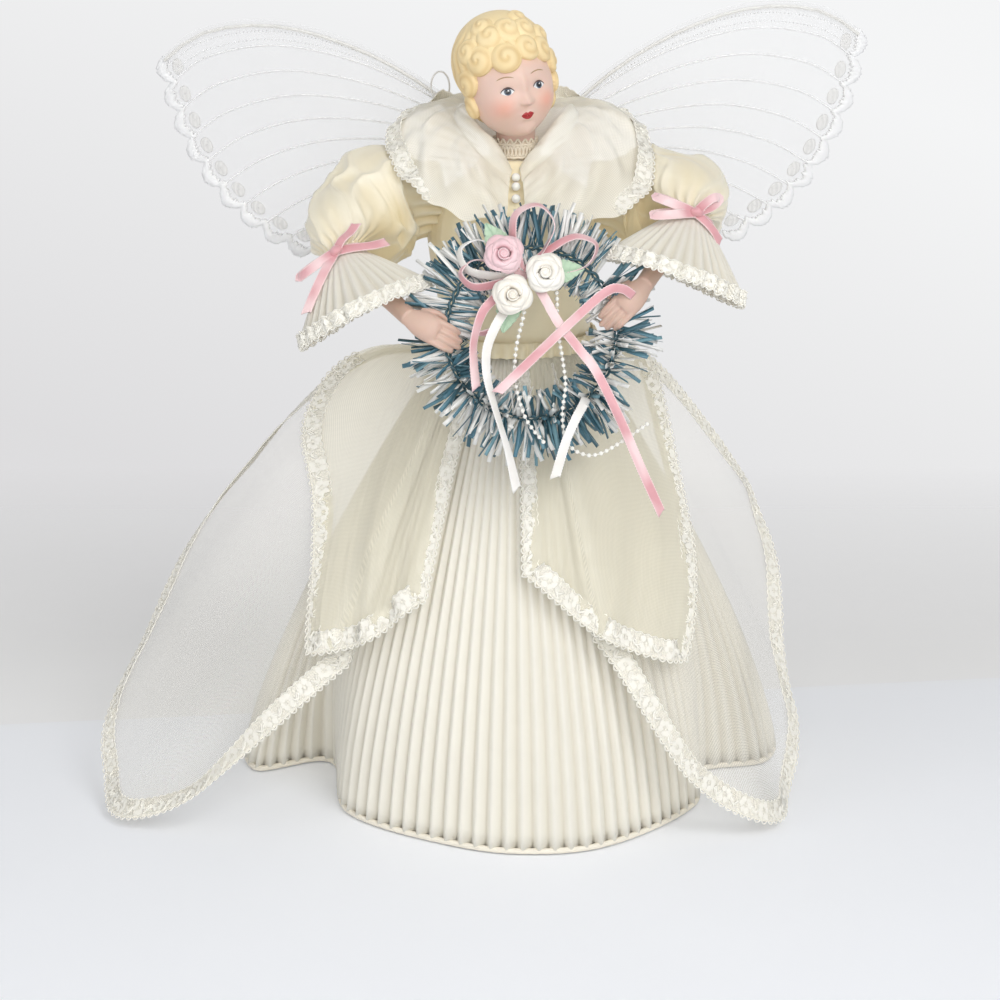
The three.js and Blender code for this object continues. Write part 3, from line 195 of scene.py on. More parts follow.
class Piece:
    """Collects the points and faces of one piece, in millimetres."""

    def __init__(self, name, finish):
        self.name = name
        self.finish = finish
        self.points, self.quads, self.fans, self.cloth, self.tints = [], [], [], [], []
        self.count = 0

    def add(self, points, quads=(), fans=(), cloth=None, tint=0.0):
        points = np.asarray(points, float).reshape(-1, 3)
        if len(quads):
            self.quads.append(np.asarray(quads) + self.count)
        self.fans += [[i + self.count for i in fan] for fan in fans]
        self.points.append(points)
        self.cloth.append(points[:, :2] * MM if cloth is None else np.asarray(cloth).reshape(-1, 2))
        self.tints.append(np.broadcast_to(np.asarray(tint, float).reshape(-1), len(points)))
        self.count += len(points)
        return self

    def grid(self, grid, wrap=False, wrap_rows=False, cloth=None, tint=0.0):
        rows, columns = grid.shape[:2]
        index = np.arange(rows * columns).reshape(rows, columns)
        if wrap:
            index = np.hstack([index, index[:, :1]])
        if wrap_rows:
            index = np.vstack([index, index[:1]])
        quads = np.stack([index[:-1, :-1], index[:-1, 1:], index[1:, 1:], index[1:, :-1]], -1)
        if cloth is None and not wrap:
            cloth = grid_lengths(grid)
        return self.add(grid, quads.reshape(-1, 4), cloth=cloth, tint=tint)

    def rings(self, rings, closed=False, tint=0.0):
        """Closed body through rings of points, with flat ends where it isn't a loop."""
        count, sides = rings.shape[:2]
        start = self.count
        self.grid(rings, wrap=True, wrap_rows=closed, tint=tint)
        if not closed:
            self.fans.append([start + i for i in range(sides)])
            self.fans.append([start + (count - 1) * sides + i for i in reversed(range(sides))])
        return self

    def slab(self, grid, thickness, normals=None, tint=0.0):
        """Closed sheet of a thickness about a grid of points."""
        rows, columns = grid.shape[:2]
        lift = (grid_normals(grid) if normals is None else normals) * thickness / 2
        flat = grid_lengths(grid)
        tint = np.broadcast_to(tint, (rows, columns))
        start = self.count
        self.grid(np.concatenate([grid + lift, (grid - lift)[:, ::-1]], 1), wrap=True,
                  cloth=np.concatenate([flat, flat[:, ::-1]], 1),
                  tint=np.concatenate([tint, tint[:, ::-1]], 1))
        k = np.arange(columns - 1)
        cap = np.stack([k, k + 1, 2 * columns - 2 - k, 2 * columns - 1 - k], -1)
        self.quads += [start + cap, start + (rows - 1) * 2 * columns + cap]
        return self

    def shell(self, grid, thickness, tint=0.0):
        """Closed sleeve of a thickness inside a grid that wraps round."""
        rows, columns = grid.shape[:2]
        inner = grid - grid_normals(grid, wrap=True) * thickness
        flat = grid_lengths(grid)
        tint = np.broadcast_to(tint, (rows, columns))
        return self.grid(np.concatenate([grid, inner[::-1]]), wrap=True, wrap_rows=True,
                         cloth=np.concatenate([flat, flat[::-1]]), tint=np.concatenate([tint, tint[::-1]]))

    def thread(self, path, normal, radius):
        """Thin four-sided thread that lies on a cloth with that normal."""
        side = unit(np.cross(tangents(path), normal)) * radius
        lift = np.broadcast_to(normal, path.shape) * radius
        return self.rings(path[:, None] + np.stack([side, lift, -side, -lift], 1))

    def tube(self, path, radius, sides=6, closed=False, tint=0.0, flat=1.0, frames=None):
        """Round tube, or one whose thickness is flat times its width."""
        path = np.asarray(path, float)
        side, up = frames if frames is not None else carried(path, closed)
        angle = (np.arange(sides) * TAU / sides)[None, :, None]
        reach = np.broadcast_to(np.asarray(radius, float), len(path))[:, None, None]
        ring = np.cos(angle) * side[:, None] + flat * np.sin(angle) * up[:, None]
        return self.rings(path[:, None] + reach * ring, closed, tint)

    def bead(self, centre, radius, sides=10, stack=7, axis=2):
        """Ball whose rings are stacked along an axis."""
        polar = np.linspace(POLE_GAP, math.pi - POLE_GAP, stack)[:, None]
        turn = np.arange(sides) * TAU / sides
        ring = stacked(np.sin(polar) * np.cos(turn), np.sin(polar) * np.sin(turn), np.cos(polar))
        return self.rings(np.asarray(centre) + radius * np.roll(ring, axis - 2, -1))

    def make(self, slot, replaces=(), body="doll"):
        """Makes the mesh, which rides on a body and takes the place of solids."""
        mesh = bpy.data.meshes.new(self.name)
        faces = (np.vstack(self.quads).tolist() if self.quads else []) + self.fans
        mesh.from_pydata((np.vstack(self.points) * MM).tolist(), [], faces)
        tint = mesh.attributes.new("tint", "FLOAT", "POINT")
        tint.data.foreach_set("value", np.concatenate(self.tints).astype(np.float32))
        corner = np.zeros(len(mesh.loops), np.int32)
        mesh.loops.foreach_get("vertex_index", corner)
        layer = mesh.uv_layers.new(name="cloth")
        layer.data.foreach_set("uv", np.vstack(self.cloth)[corner].astype(np.float32).ravel())
        shell = bmesh.new()
        shell.from_mesh(mesh)
        bmesh.ops.recalc_face_normals(shell, faces=shell.faces)
        shell.to_mesh(mesh)
        shell.free()
        mesh.shade_smooth()
        mesh.materials.append(self.finish.material)
        made = linked(self.name, mesh)
        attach(made, body)
        if replaces:
            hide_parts(*replaces)
        return made


# Materials

# Scale at which a wave texture has one band in each unit
WAVE_SCALE = 0.314
CLOTH_BLOTCH = 9
CLOTH_RELIEF = 0.06


class Nodes:
    """Short way to write a node tree."""

    def __init__(self, tree):
        self.nodes, self.links = tree.nodes, tree.links

    def feed(self, socket, value):
        """Links a socket to another one, or sets its number, vector or colour. A colour is a tuple."""
        if isinstance(value, bpy.types.NodeSocket):
            self.links.new(value, socket)
        else:
            socket.default_value = (*value, 1) if isinstance(value, tuple) else value

    def node(self, kind, out=0, settings=(), **inputs):
        """Output of a new node, whose inputs go by name, or by number after an i."""
        made = self.nodes.new("ShaderNode" + kind)
        for name, value in settings:
            setattr(made, name, value)
        for name, value in inputs.items():
            self.feed(made.inputs[int(name[1:]) if name[1:].isdigit() else name], value)
        return made.outputs[out]

    def combine(self, operation, first, second, clamp=False):
        return self.node("Math", 0, [("operation", operation), ("use_clamp", clamp)], i0=first, i1=second)

    def blend(self, factor, first, second):
        return self.node("Mix", 2, [("data_type", "RGBA")], i0=factor, i6=first, i7=second)

    def seen(self):
        """1 for what the camera sees, straight or in a reflection."""
        rays = self.nodes.new("ShaderNodeLightPath").outputs
        seen = rays["Is Camera Ray"]
        for ray in ("Is Glossy Ray", "Is Transmission Ray"):
            seen = self.combine("MAXIMUM", seen, rays[ray])
        return seen


class Finish(Nodes):
    """Node material round one Principled shader."""

    def __init__(self, name, roughness=0.5, **sockets):
        self.material = bpy.data.materials.new(name)
        self.material.use_nodes = True
        super().__init__(self.material.node_tree)
        self.shader = self.nodes["Principled BSDF"]
        self.set("Roughness", roughness)
        for socket, value in sockets.items():
            self.set(socket.replace("_", " "), value)

    def set(self, socket, value):
        self.feed(self.shader.inputs[socket], value)

    def place(self):
        return self.node("TexCoord", "Object")

    def tint(self):
        return self.node("Attribute", "Fac", settings=[("attribute_name", "tint")])

    def noise(self, size, detail=3.0):
        """Noise whose blotches are about size millimetres across."""
        return self.node("TexNoise", "Fac", Vector=self.place(), Scale=1 / (size * MM), Detail=detail)

    def ramp(self, value, stops):
        ramp_node = self.nodes.new("ShaderNodeValToRGB")
        self.links.new(value, ramp_node.inputs[0])
        ramp_colours = ramp_node.color_ramp
        for i, (spot, colour) in enumerate(stops):
            stop = ramp_colours.elements[i] if i < 2 else ramp_colours.elements.new(spot)
            stop.position = spot
            stop.color = (*colour, 1)
        return ramp_node.outputs[0]

    def weave(self, pitch):
        """Height of a plain weave of that pitch in millimetres."""
        cloth = self.node("UVMap", settings=[("uv_map", "cloth")])
        bands = [self.node("TexWave", "Fac", settings=[("bands_direction", way)], Vector=cloth,
                           Scale=WAVE_SCALE / (pitch * MM), Distortion=0.4) for way in ("X", "Y")]
        return self.combine("ADD", *bands)

    def bump(self, height, depth):
        """Bump of a height field, depth in millimetres."""
        self.set("Normal", self.node("Bump", Height=height, Distance=depth * MM, Strength=0.6))


def scaled(colour, share):
    return tuple(share * c for c in colour)


def mottled(name, roughness, low, high, size, marked=None, grain=None, **sockets):
    """Blotched finish from low to high. The tint turns it to marked, and grain is a bump's size and depth."""
    made = Finish(name, roughness, **sockets)
    colour = made.blend(made.noise(size), low, high)
    made.set("Base Color", made.blend(made.tint(), colour, marked) if marked else colour)
    if grain:
        made.bump(made.noise(grain[0]), grain[1])
    return made


def cloth_finish(name, colour, shade, pitch, roughness, sheen=0.3, **sockets):
    """Woven cloth that darkens to shade where the tint marks a fold."""
    made = mottled(name, roughness, scaled(colour, 0.95), colour, CLOTH_BLOTCH, shade, Sheen_Weight=sheen,
                   Sheen_Roughness=0.4, **sockets)
    made.bump(made.weave(pitch), CLOTH_RELIEF * pitch)
    return made


def sheer_finish(name, colour, shade, cover, gap=0.07, pitch=0.45):
    """Sheer cloth: threads cover a share of it, more where the tint marks a fold or seam."""
    made = cloth_finish(name, colour, shade, pitch, 0.5, 0.4)
    threads = made.node("MapRange", Value=made.weave(pitch), i1=0.3, i2=1.7, i3=cover - gap, i4=cover + gap)
    made.set("Alpha", made.combine("ADD", threads, made.tint(), clamp=True))
    return made


def satin_finish(name, colour, shade):
    return cloth_finish(name, colour, shade, 0.25, 0.36, 0.35, Specular_IOR_Level=0.45)


def ribbon_finish(name, colour, edge):
    """Satin ribbon: painted sheen of pale blotches in its colour, and paler woven edges marked by the tint.
    """
    made = Finish(name, 0.3, Sheen_Weight=0.5, Specular_IOR_Level=0.6)
    patchy = made.blend(made.noise(2.5), scaled(colour, 0.9), colour)
    # Painted sheen: pale blotches in the edge colour stand in for the satin's highlights.
    painted_sheen = made.node("MapRange", Value=made.noise(13, 1.0), i1=0.46, i2=0.68, i3=0.0, i4=0.85)
    made.set("Base Color", made.blend(made.tint(), made.blend(painted_sheen, patchy, edge), edge))
    made.bump(made.weave(0.3), 0.02)
    return made


def bisque_finish(name, low, high):
    """Matt tinted bisque with a soft blush where the tint marks it."""
    return mottled(name, 0.42, low, high, 6, (0.86, 0.36, 0.25), (0.35, 0.02), Subsurface_Weight=0.12,
                   Subsurface_Scale=0.002, Specular_IOR_Level=0.4)


def strip_finish():
    """Flat foil-like strips: dark teal, blue-green and white by the tint."""
    made = Finish("garland_strip", 0.38, Specular_IOR_Level=0.5)
    colour = made.ramp(made.tint(), [(0.0, (0.04, 0.1, 0.12)), (1.0, (0.97, 0.96, 0.92)),
                                     (0.3, (0.08, 0.21, 0.28)), (0.55, (0.22, 0.4, 0.46)),
                                     (0.62, (0.7, 0.7, 0.68))])
    made.set("Base Color", made.blend(made.noise(3), colour, made.blend(0.2, colour, (0.05, 0.07, 0.07))))
    made.bump(made.noise(0.8), 0.05)
    return made


def plain_finish(name, colour, dark, size, roughness, metallic=0.0, depth=0.1):
    """Blotched finish for the pieces that keep their solids, and for bare wire."""
    return mottled(name, roughness, dark, colour, size, grain=(size / 6, depth), Metallic=metallic)


CREAM = (0.92, 0.855, 0.68)
PLEAT_CREAM = (0.89, 0.86, 0.765)
PLEAT_SHADE = (0.66, 0.6, 0.47)
GOLD_SHADE = (0.87, 0.73, 0.44)
WIRE_GREY = ((0.62, 0.62, 0.6), (0.42, 0.42, 0.41))
WIRE_PAINT = ((0.9, 0.89, 0.86), (0.74, 0.73, 0.7))

pleat_cloth = cloth_finish("pleated_cloth", PLEAT_CREAM, PLEAT_SHADE, 0.4, 0.55)
satin_cloth = satin_finish("cream_satin", CREAM, GOLD_SHADE)
# Warmer, more golden copy of the cream satin for the bodice and waist:
# painted warm shade, as the wreath and arms shade them.
warm_shaded_satin = satin_finish("bodice_satin", (0.96, 0.865, 0.62), GOLD_SHADE)
roll_cloth = cloth_finish("hem_roll_cloth", (0.94, 0.88, 0.75), (0.84, 0.75, 0.58), 0.35, 0.6)
short_organza = sheer_finish("short_organza", (0.98, 0.93, 0.75), (0.98, 0.95, 0.84), 0.5)
long_organza = sheer_finish("long_organza", (0.98, 0.945, 0.86), (0.98, 0.95, 0.86), 0.26)
collar_organza = sheer_finish("collar_organza", (0.98, 0.94, 0.82), (0.98, 0.95, 0.88), 0.72)
wing_organza = sheer_finish("wing_organza", (0.86, 0.86, 0.87), (0.96, 0.96, 0.96), 0.3, 0.05, 0.3)
spot_cloth = sheer_finish("wing_spot_cloth", (0.9, 0.89, 0.87), (0.8, 0.81, 0.83), 0.5, 0.1, 0.4)
lace_thread = cloth_finish("lace_thread", (0.98, 0.955, 0.87), (0.98, 0.96, 0.88), 0.2, 0.6, 0.5)
lace_net = sheer_finish("lace_net", (0.97, 0.935, 0.83), (0.98, 0.95, 0.86), 0.94, 0.1, 0.8)
neck_lace_thread = cloth_finish("neck_lace_thread", (0.9, 0.82, 0.68), (0.72, 0.6, 0.44), 0.2, 0.6)
white_thread = cloth_finish("white_thread", (0.97, 0.97, 0.97), (0.88, 0.88, 0.89), 0.2, 0.4, 0.5)
pink_satin = ribbon_finish("pink_satin", (0.76, 0.37, 0.4), (0.93, 0.72, 0.72))
rose_pink = ribbon_finish("rose_pink", (0.83, 0.5, 0.54), (0.92, 0.7, 0.72))
ivory_satin = ribbon_finish("ivory_satin", (0.93, 0.9, 0.84), (0.97, 0.95, 0.92))
rose_ivory = ribbon_finish("rose_ivory", (0.93, 0.87, 0.76), (0.97, 0.94, 0.87))
mint_leaf = cloth_finish("mint_leaf", (0.56, 0.74, 0.54), (0.38, 0.56, 0.4), 0.35, 0.65)
bisque = bisque_finish("bisque", (0.79, 0.56, 0.47), (0.82, 0.6, 0.51))
# The hands take a darker, tanner copy of the bisque: painted shade, as they lie in less light.
shaded_hand_bisque = bisque_finish("shaded_hand_bisque", (0.64, 0.44, 0.35), (0.7, 0.5, 0.41))
# The hair turns tan where the tint marks it: painted shade.
hair_paint = mottled("painted_hair", 0.5, (0.93, 0.74, 0.41), (0.96, 0.8, 0.5), 5, (0.68, 0.45, 0.18),
                     (0.5, 0.03), Specular_IOR_Level=0.35)
pearl = mottled("pearl", 0.22, (0.93, 0.89, 0.82), (0.97, 0.95, 0.92), 1.5, Coat_Weight=0.5,
                Coat_Roughness=0.1, Thin_Film_Thickness=420.0)
garland_strip = strip_finish()


# Camera at the photograph's viewing angle

CAMERA_TILT = math.radians(16)
CAMERA_TARGET = Vector((-5.6, 0, 101.24)) * MM
CAMERA_DISTANCE = 896 * MM
CAMERA_LENS = 86.4


def add_camera():
    data = bpy.data.cameras.new("camera")
    data.lens = CAMERA_LENS
    camera = linked("camera", data)
    look = Vector((0, math.cos(CAMERA_TILT), -math.sin(CAMERA_TILT)))
    camera.location = CAMERA_TARGET - CAMERA_DISTANCE * look
    camera.rotation_euler = (math.pi / 2 - CAMERA_TILT, 0, 0)
    scene.camera = camera


add_camera()


# Wreath frame: x to the viewer's right, y up the wreath, z towards the viewer

WREATH_RADIUS = 29.0
WREATH_CENTRE = np.array([5, -62, 178.0])
WREATH_LEAN = math.radians(15)
WREATH_AXES = np.array([[1, 0, 0], [0, math.sin(WREATH_LEAN), math.cos(WREATH_LEAN)],
                        [0, -math.cos(WREATH_LEAN), math.sin(WREATH_LEAN)]])
WREATH_FRONT = WREATH_AXES[2]


def on_wreath(points):
    return WREATH_CENTRE + np.asarray(points, float) @ WREATH_AXES


def to_wreath(points):
    return (np.asarray(points, float) - WREATH_CENTRE) @ WREATH_AXES.T


# Ribbons and pearl strands that hang free

RIBBON_ACROSS = np.array([-1, -0.86, -0.72, -0.35, 0, 0.35, 0.72, 0.86, 1])
RIBBON_EDGE = np.array([1, 0.85, 0, 0, 0, 0, 0, 0.85, 1])
RIBBON_THICK = 0.3
RIBBON_STEP = 0.5
RIBBON_CROWN = 0.22
PICOT_DEPTH = 0.12
KNOT_STEPS = 14


def ribbon(piece, points, facing, width=RIBBON_WIDTH, twist=(0, 0), slant=0.0):
    """Satin ribbon along points, its face towards facing, with looped edges and an end cut on the slant."""
    path = route(points, max(12, round(length_of(route(points, 40)) / RIBBON_STEP)))
    way = tangents(path)
    side = unit(np.cross(way, facing))
    face = np.cross(side, way)
    turn = np.radians(along(twist, np.linspace(0, 1, len(path))))[:, None]
    side, face = side * np.cos(turn) + face * np.sin(turn), face * np.cos(turn) - side * np.sin(turn)
    across = np.tile(RIBBON_ACROSS, (len(path), 1))
    across[1::2, [0, -1]] *= 1 - PICOT_DEPTH
    cut = np.zeros((len(path), 1))
    cut[-1] = slant
    grid = (path[:, None] + side[:, None] * (across * width / 2)[..., None]
            + face[:, None] * (RIBBON_CROWN * (1 - across ** 2))[..., None]
            + way[:, None] * (cut * across)[..., None])
    piece.slab(grid, RIBBON_THICK, np.broadcast_to(face[:, None], grid.shape), RIBBON_EDGE)


def ribbon_knot(piece, spots, radius, ends):
    """Knot of ribbon through points, thinner at its ends."""
    swell = np.sin(np.linspace(0, np.pi, KNOT_STEPS))
    piece.tube(route(spots, KNOT_STEPS), radius * (ends + (1 - ends) * swell), 12, flat=0.7)


RIBBON_ROUTES = {
    "pink_tail_long": [(2, 15.5, 7.25), (4.5, 11, 9.6), (9, 3, 10.4), (16, -6, 10.6), (22, -14, 10.6),
                       (30, -30, 10.2), (37, -46, 8), (44, -61, 4)],
    "pink_tail_cross": [(34.3, 12.2, 6.7), (30, 14.5, 9), (24, 12.6, 11), (10, 0, 12.2), (0, -9.5, 12.2),
                        (-11.5, -20.5, 12)],
    "ivory_tail_long": [(-8.5, 7.6, 7.25), (-12, 2, 9.6), (-15, -6, 10.6), (-15, -15, 10.6),
                        (-12.5, -25, 10.4), (-8, -40, 8), (-5, -53, 4)],
    "ivory_tail_short": [(18.64, -22.22, 2.15), (17.2, -25, 6), (14.5, -30, 9.2), (11.5, -37, 9.2),
                         (8, -49, 7.4)],
    "pink_tail_side": [(-11.6, 12, 7.25), (-16.5, 6.5, 8.4), (-19.4, -3, 8.6), (-19.4, -11, 8.6),
                       (-18.6, -19, 8.4)],
}
RIBBON_TWISTS = {
    "pink_tail_long": (0, 12, -10, 8), "pink_tail_cross": (12, 0, -8, 0), "ivory_tail_long": (0, 30, 55, 20),
    "ivory_tail_short": (0, 20, 0), "pink_tail_side": (0, 40, 20),
}
TAIL_SLANT = 1.3


def hanging_ribbon(name):
    pink = name.startswith("pink")
    spots = on_wreath(RIBBON_ROUTES[name])
    piece = Piece(name + "_satin", pink_satin if pink else ivory_satin)
    ribbon(piece, spots, WREATH_FRONT, twist=RIBBON_TWISTS[name], slant=TAIL_SLANT)
    made = piece.make("pink_ribbon" if pink else "ivory_ribbon", [name])


for ribbon_name in RIBBON_ROUTES:
    hanging_ribbon(ribbon_name)

PEARL_ROUTES = {
    "pearl_strand_left": [(-2.2, 8.6, 6.75), (-3, 4, 7.8), (-5.2, -6, 8.4), (-5.4, -17, 8.6), (-2, -29, 8.8),
                          (4, -37, 8.6)],
    "pearl_strand_right": [(8.4, 15.2, 6.75), (8.6, 10, 7.6), (8.6, 2, 8.4), (10.4, -9, 8.4),
                           (11.4, -18, 8.4), (10.4, -28, 7.4), (12, -37, 7.2), (17, -41, 7.6),
                           (23, -41, 7.8), (31, -36.5, 7.6), (39, -31, 6.4)],
}
STRAND_PEARL = 0.75
STRAND_THREAD = 0.14
PEARL_PITCH = 2.0


def pearl_strand(name):
    spots = on_wreath(PEARL_ROUTES[name])
    path = route(spots, 120)
    piece = Piece(name + "_beads", pearl)
    piece.tube(path, STRAND_THREAD, sides=5)
    for spot in route(spots, round(length_of(path) / PEARL_PITCH)):
        piece.bead(spot, STRAND_PEARL)
    made = piece.make("pearl", [name])


for strand_name in PEARL_ROUTES:
    pearl_strand(strand_name)


# Cloth

def declare_sheet(grid):
    """Size that a cloth piece's grid of points has laid flat, worked out and not used further."""
    down = np.linalg.norm(np.diff(grid, axis=0), axis=2).sum(0).max() * MM
    run, drop = np.diff(grid[:-1], axis=1), np.diff(grid[:, :-1], axis=0)
    area = np.linalg.norm(np.cross(run, drop), axis=2).sum() * MM * MM
    across = max(np.linalg.norm(np.diff(grid, axis=1), axis=2).sum(1).mean() * MM, area / down)


# Pleated skirt

PLEATS = 110
PLEAT_SAMPLES = 8
PLEAT_LEAN = 0.38
PLEAT_CURVE = 1.2
SKIRT_ROWS = 30
WAIST_PLEAT, HEM_PLEAT = 0.8, 2.4
SKIRT_FOOT = 1.6
SKIRT_CLOTH = 0.35
BINDING_RADIUS = 1.1
BINDING_STEPS = 480


def fall(z):
    return 1 - np.clip(z / SKIRT_HEIGHT, 0, 1) ** BELL_CURVE


def bell(z):
    return mix(WAIST_RADIUS, HEM_REACH, fall(z))


def closed_spline(points, steps=60):
    """Round curve through points, with knots spaced by the square root of their distance."""
    points = np.asarray(points, float)
    bends = []
    for i in range(len(points)):
        spots = [points[(i + k) % len(points)] for k in (-1, 0, 1, 2)]
        knots = np.cumsum([0] + [np.linalg.norm(b - a) ** 0.5 for a, b in zip(spots, spots[1:])])
        t = np.linspace(knots[1], knots[2], steps, endpoint=False)[:, None]
        for gap in (1, 2):
            spots = [((knots[k + gap] - t) * spots[k] + (t - knots[k]) * spots[k + 1])
                     / (knots[k + gap] - knots[k]) for k in range(4 - gap)]
        bends.append(((knots[2] - t) * spots[0] + (t - knots[1]) * spots[1]) / (knots[2] - knots[1]))
    return np.vstack(bends)


HEM_CURVE = closed_spline([around(degrees, share * HEM_REACH, 0.0) for degrees, share in HEM_OUTLINE])


def skirt_rings(heights, count):
    """Rings of the unpleated skirt, from the middle of the back round the viewer's left side."""
    share = (np.arange(count) / count + 0.5) % 1
    z = np.asarray(heights, float)[:, None]
    ring = around(360 * share[None], bell(z), z)
    lobes = np.roll(even(HEM_CURVE, count, closed=True), -(count // 2), axis=0)
    lobed = lobes[None] * (bell(z) / HEM_REACH)[..., None] + np.array([0, 0, 1]) * z[..., None]
    return mix(ring, lobed, (fall(z) ** 2)[..., None])


def ring_outward(rings):
    run = np.roll(rings, -1, 1) - np.roll(rings, 1, 1)
    return unit(np.cross(run, [0, 0, 1.0]))


def pleated_skirt():
    count = PLEATS * PLEAT_SAMPLES
    z = np.linspace(SKIRT_FOOT, SKIRT_HEIGHT, SKIRT_ROWS)
    rings = skirt_rings(z, count)
    phase = (np.arange(count) / PLEAT_SAMPLES) % 1
    into, out_of = 1 - phase / PLEAT_LEAN, (phase - PLEAT_LEAN) / (1 - PLEAT_LEAN)
    valley = np.where(phase < PLEAT_LEAN, into, out_of) ** PLEAT_CURVE
    depth = mix(WAIST_PLEAT, HEM_PLEAT, fall(z))[:, None]
    waver = 0.5 * wiggle(np.arange(count) / 37, 3) * (fall(z)[:, None] * np.sin(z / 31)[:, None])
    grid = rings + ring_outward(rings) * (waver - depth * valley)[..., None]
    # Darker in the pleat valleys, more so towards the hem: painted shade.
    shade = np.broadcast_to(0.6 * valley ** 2, grid.shape[:2]) * mix(0.6, 1, fall(z))[:, None]
    piece = Piece("skirt_cloth", pleat_cloth)
    piece.shell(grid, SKIRT_CLOTH, shade)
    made = piece.make("pleated_cloth", ["pleated_skirt"])
    hem = skirt_rings([BINDING_RADIUS], BINDING_STEPS)
    line = (hem - ring_outward(hem) * HEM_PLEAT / 2)[0]
    roll = Piece("skirt_hem_roll", roll_cloth)
    uneven = 0.96 + 0.04 * np.sin(np.arange(BINDING_STEPS) * 1.7)
    roll.tube(line, BINDING_RADIUS * uneven, 10, closed=True)
    hem_roll = roll.make("satin", ["hem_binding"])
    declare_sheet(grid)


pleated_skirt()


# Lace

LACE_PITCH = 3.0
LACE_LIFT = 0.3
FLOWER_EVERY = 3
PETALS = 6
PETAL_SIDES = 8
# Share of the lace's width at which its flowers stand
FLOWER_LINE = 0.52
EDGE_THREAD, FOOT_THREAD, HEADER_THREAD = 0.28, 0.24, 0.26
NET_THREAD = 0.15
VINE_THREAD, TENDRIL_THREAD = 0.5, 0.4
VINE_GAP = 0.9


def smoothed(values, width):
    """Directions averaged along a border, so that lace turns its corners."""
    pad = np.pad(values, ((width, width), (0, 0)), mode="edge")
    window = np.ones(2 * width + 1) / (2 * width + 1)
    return unit(np.stack([np.convolve(pad[:, k], window, mode="valid") for k in range(3)], 1))


def lace(name, border, normal, inside, width, seed):
    """Lace sewn along a border: fine net under a looped edge, header thread and dense flowers. inside holds
    points of the cloth beside the border. Returns the two pieces."""
    piece, net = Piece(name, lace_thread), Piece(name + "_net", lace_net)
    draw = np.random.default_rng(seed)
    reach = np.concatenate([[0], np.cumsum(np.linalg.norm(np.diff(border, axis=0), axis=1))])
    across = np.cross(normal, tangents(border))
    inward = smoothed(across * np.sign((across * (inside - border)).sum()), 6)
    width = np.broadcast_to(width, len(border))
    units = max(3, round(reach[-1] / LACE_PITCH))

    def spots(run, share, lift=LACE_LIFT):
        """Points at runs counted in lace units and shares of the width, with the cloth's normal there."""
        mark = np.clip(np.asarray(run) / units, 0, 1) * reach[-1]
        pick = [np.stack([np.interp(mark, reach, field[:, k]) for k in range(3)], -1)
                for field in (border, inward, normal)]
        inset = np.interp(mark, reach, width) * share
        return pick[0] + pick[1] * inset[..., None] + pick[2] * lift, unit(pick[2])

    def stitch(run, share, radius):
        path, facing = spots(run, share)
        piece.thread(path, facing, radius)

    def flower(centre):
        turn = np.arange(PETAL_SIDES) * TAU / PETAL_SIDES
        sides = [[j, (j + 1) % PETAL_SIDES, PETAL_SIDES] for j in range(PETAL_SIDES)]
        for k in range(PETALS):
            angle = k * TAU / PETALS + draw.uniform(-0.2, 0.2)
            size = draw.uniform(0.85, 1.15)
            run = centre + 0.66 * size * np.cos(angle) + 0.36 * size * np.cos(turn)
            share = FLOWER_LINE + 0.27 * size * np.sin(angle) + 0.16 * size * np.sin(turn)
            rim, facing = spots(run, share, LACE_LIFT + 0.05)
            top = rim.mean(0) + facing.mean(0) * 0.12
            piece.add(np.vstack([rim, top]), fans=sides)

    fine = np.arange(0, units + 0.01, 0.125)
    wave = np.sin(TAU * fine)
    stitch(fine, 0.1 - 0.19 * np.abs(np.sin(np.pi * fine)), EDGE_THREAD)
    stitch(fine, 0.13 + 0.03 * wave, FOOT_THREAD)
    stitch(fine, 0.98 + 0.04 * wave, HEADER_THREAD)
    net.grid(np.stack([spots(fine, 0.02 + share * (0.95 + 0.04 * wave), LACE_LIFT * 0.6)[0]
                       for share in np.linspace(0, 1, 5)]))
    corner = np.arange(0, units + 0.01, 0.5)
    for rise in (np.arange(len(corner)) % 2, (np.arange(len(corner)) + 1) % 2):
        stitch(corner, 0.14 + 0.4 * rise, NET_THREAD)
        stitch(corner, 0.54 + 0.4 * rise, NET_THREAD)
    for start in np.arange(FLOWER_EVERY / 2, units, FLOWER_EVERY):
        centre = start + draw.uniform(-0.3, 0.3)
        flower(centre)
        vine = np.linspace(centre + VINE_GAP, centre + FLOWER_EVERY - VINE_GAP, 14)
        turn = TAU * (vine - centre) / FLOWER_EVERY
        stitch(vine, FLOWER_LINE + 0.2 * np.sin(turn * 1.5), VINE_THREAD)
        stitch(vine, 0.4 - 0.2 * np.sin(turn * 2), TENDRIL_THREAD)
    return [piece.make("lace"), net.make("lace")]


# Overskirt panels

PANEL_NECK = 2.5
LAYER_STEP = LAYER_GAP + CLOTH
SHORT_NECK = PANEL_TOP - PANEL_NECK
LONG_NECK = SHORT_NECK - LAYER_STEP
PANEL_COLUMNS, PANEL_ROWS = 110, 60
LACE_WIDTH, FRONT_LACE_WIDTH = 7.5, 4.0
# Row at which a panel's lace starts, and steps from its edge to the cloth beside it
LACE_START, LACE_INSET = 8, 4
EDGE_SHARPNESS = 40
PANEL_GATHERS = 26
PANEL_SEEDS = {("long", "left"): 20, ("long", "right"): 21, ("short", "left"): 22, ("short", "right"): 23}


def panel_down(z, neck, hem):
    return np.clip((neck - z) / (neck - hem), 0, 1)


def stand_off(panel, neck, share, z, crest=False):
    """How far a panel stands off what it lies on, on its folds or on their crests."""
    down = panel_down(z, neck, along(panel["hem"], share))
    fold = 1 if crest else 0.5 - 0.5 * np.cos(TAU * panel["folds"] * share)
    spread = np.maximum(along(panel["flare"], share), 0) * down ** along(panel["bend"], share)
    return spread + PANEL_FOLD_DEPTH * down * fold


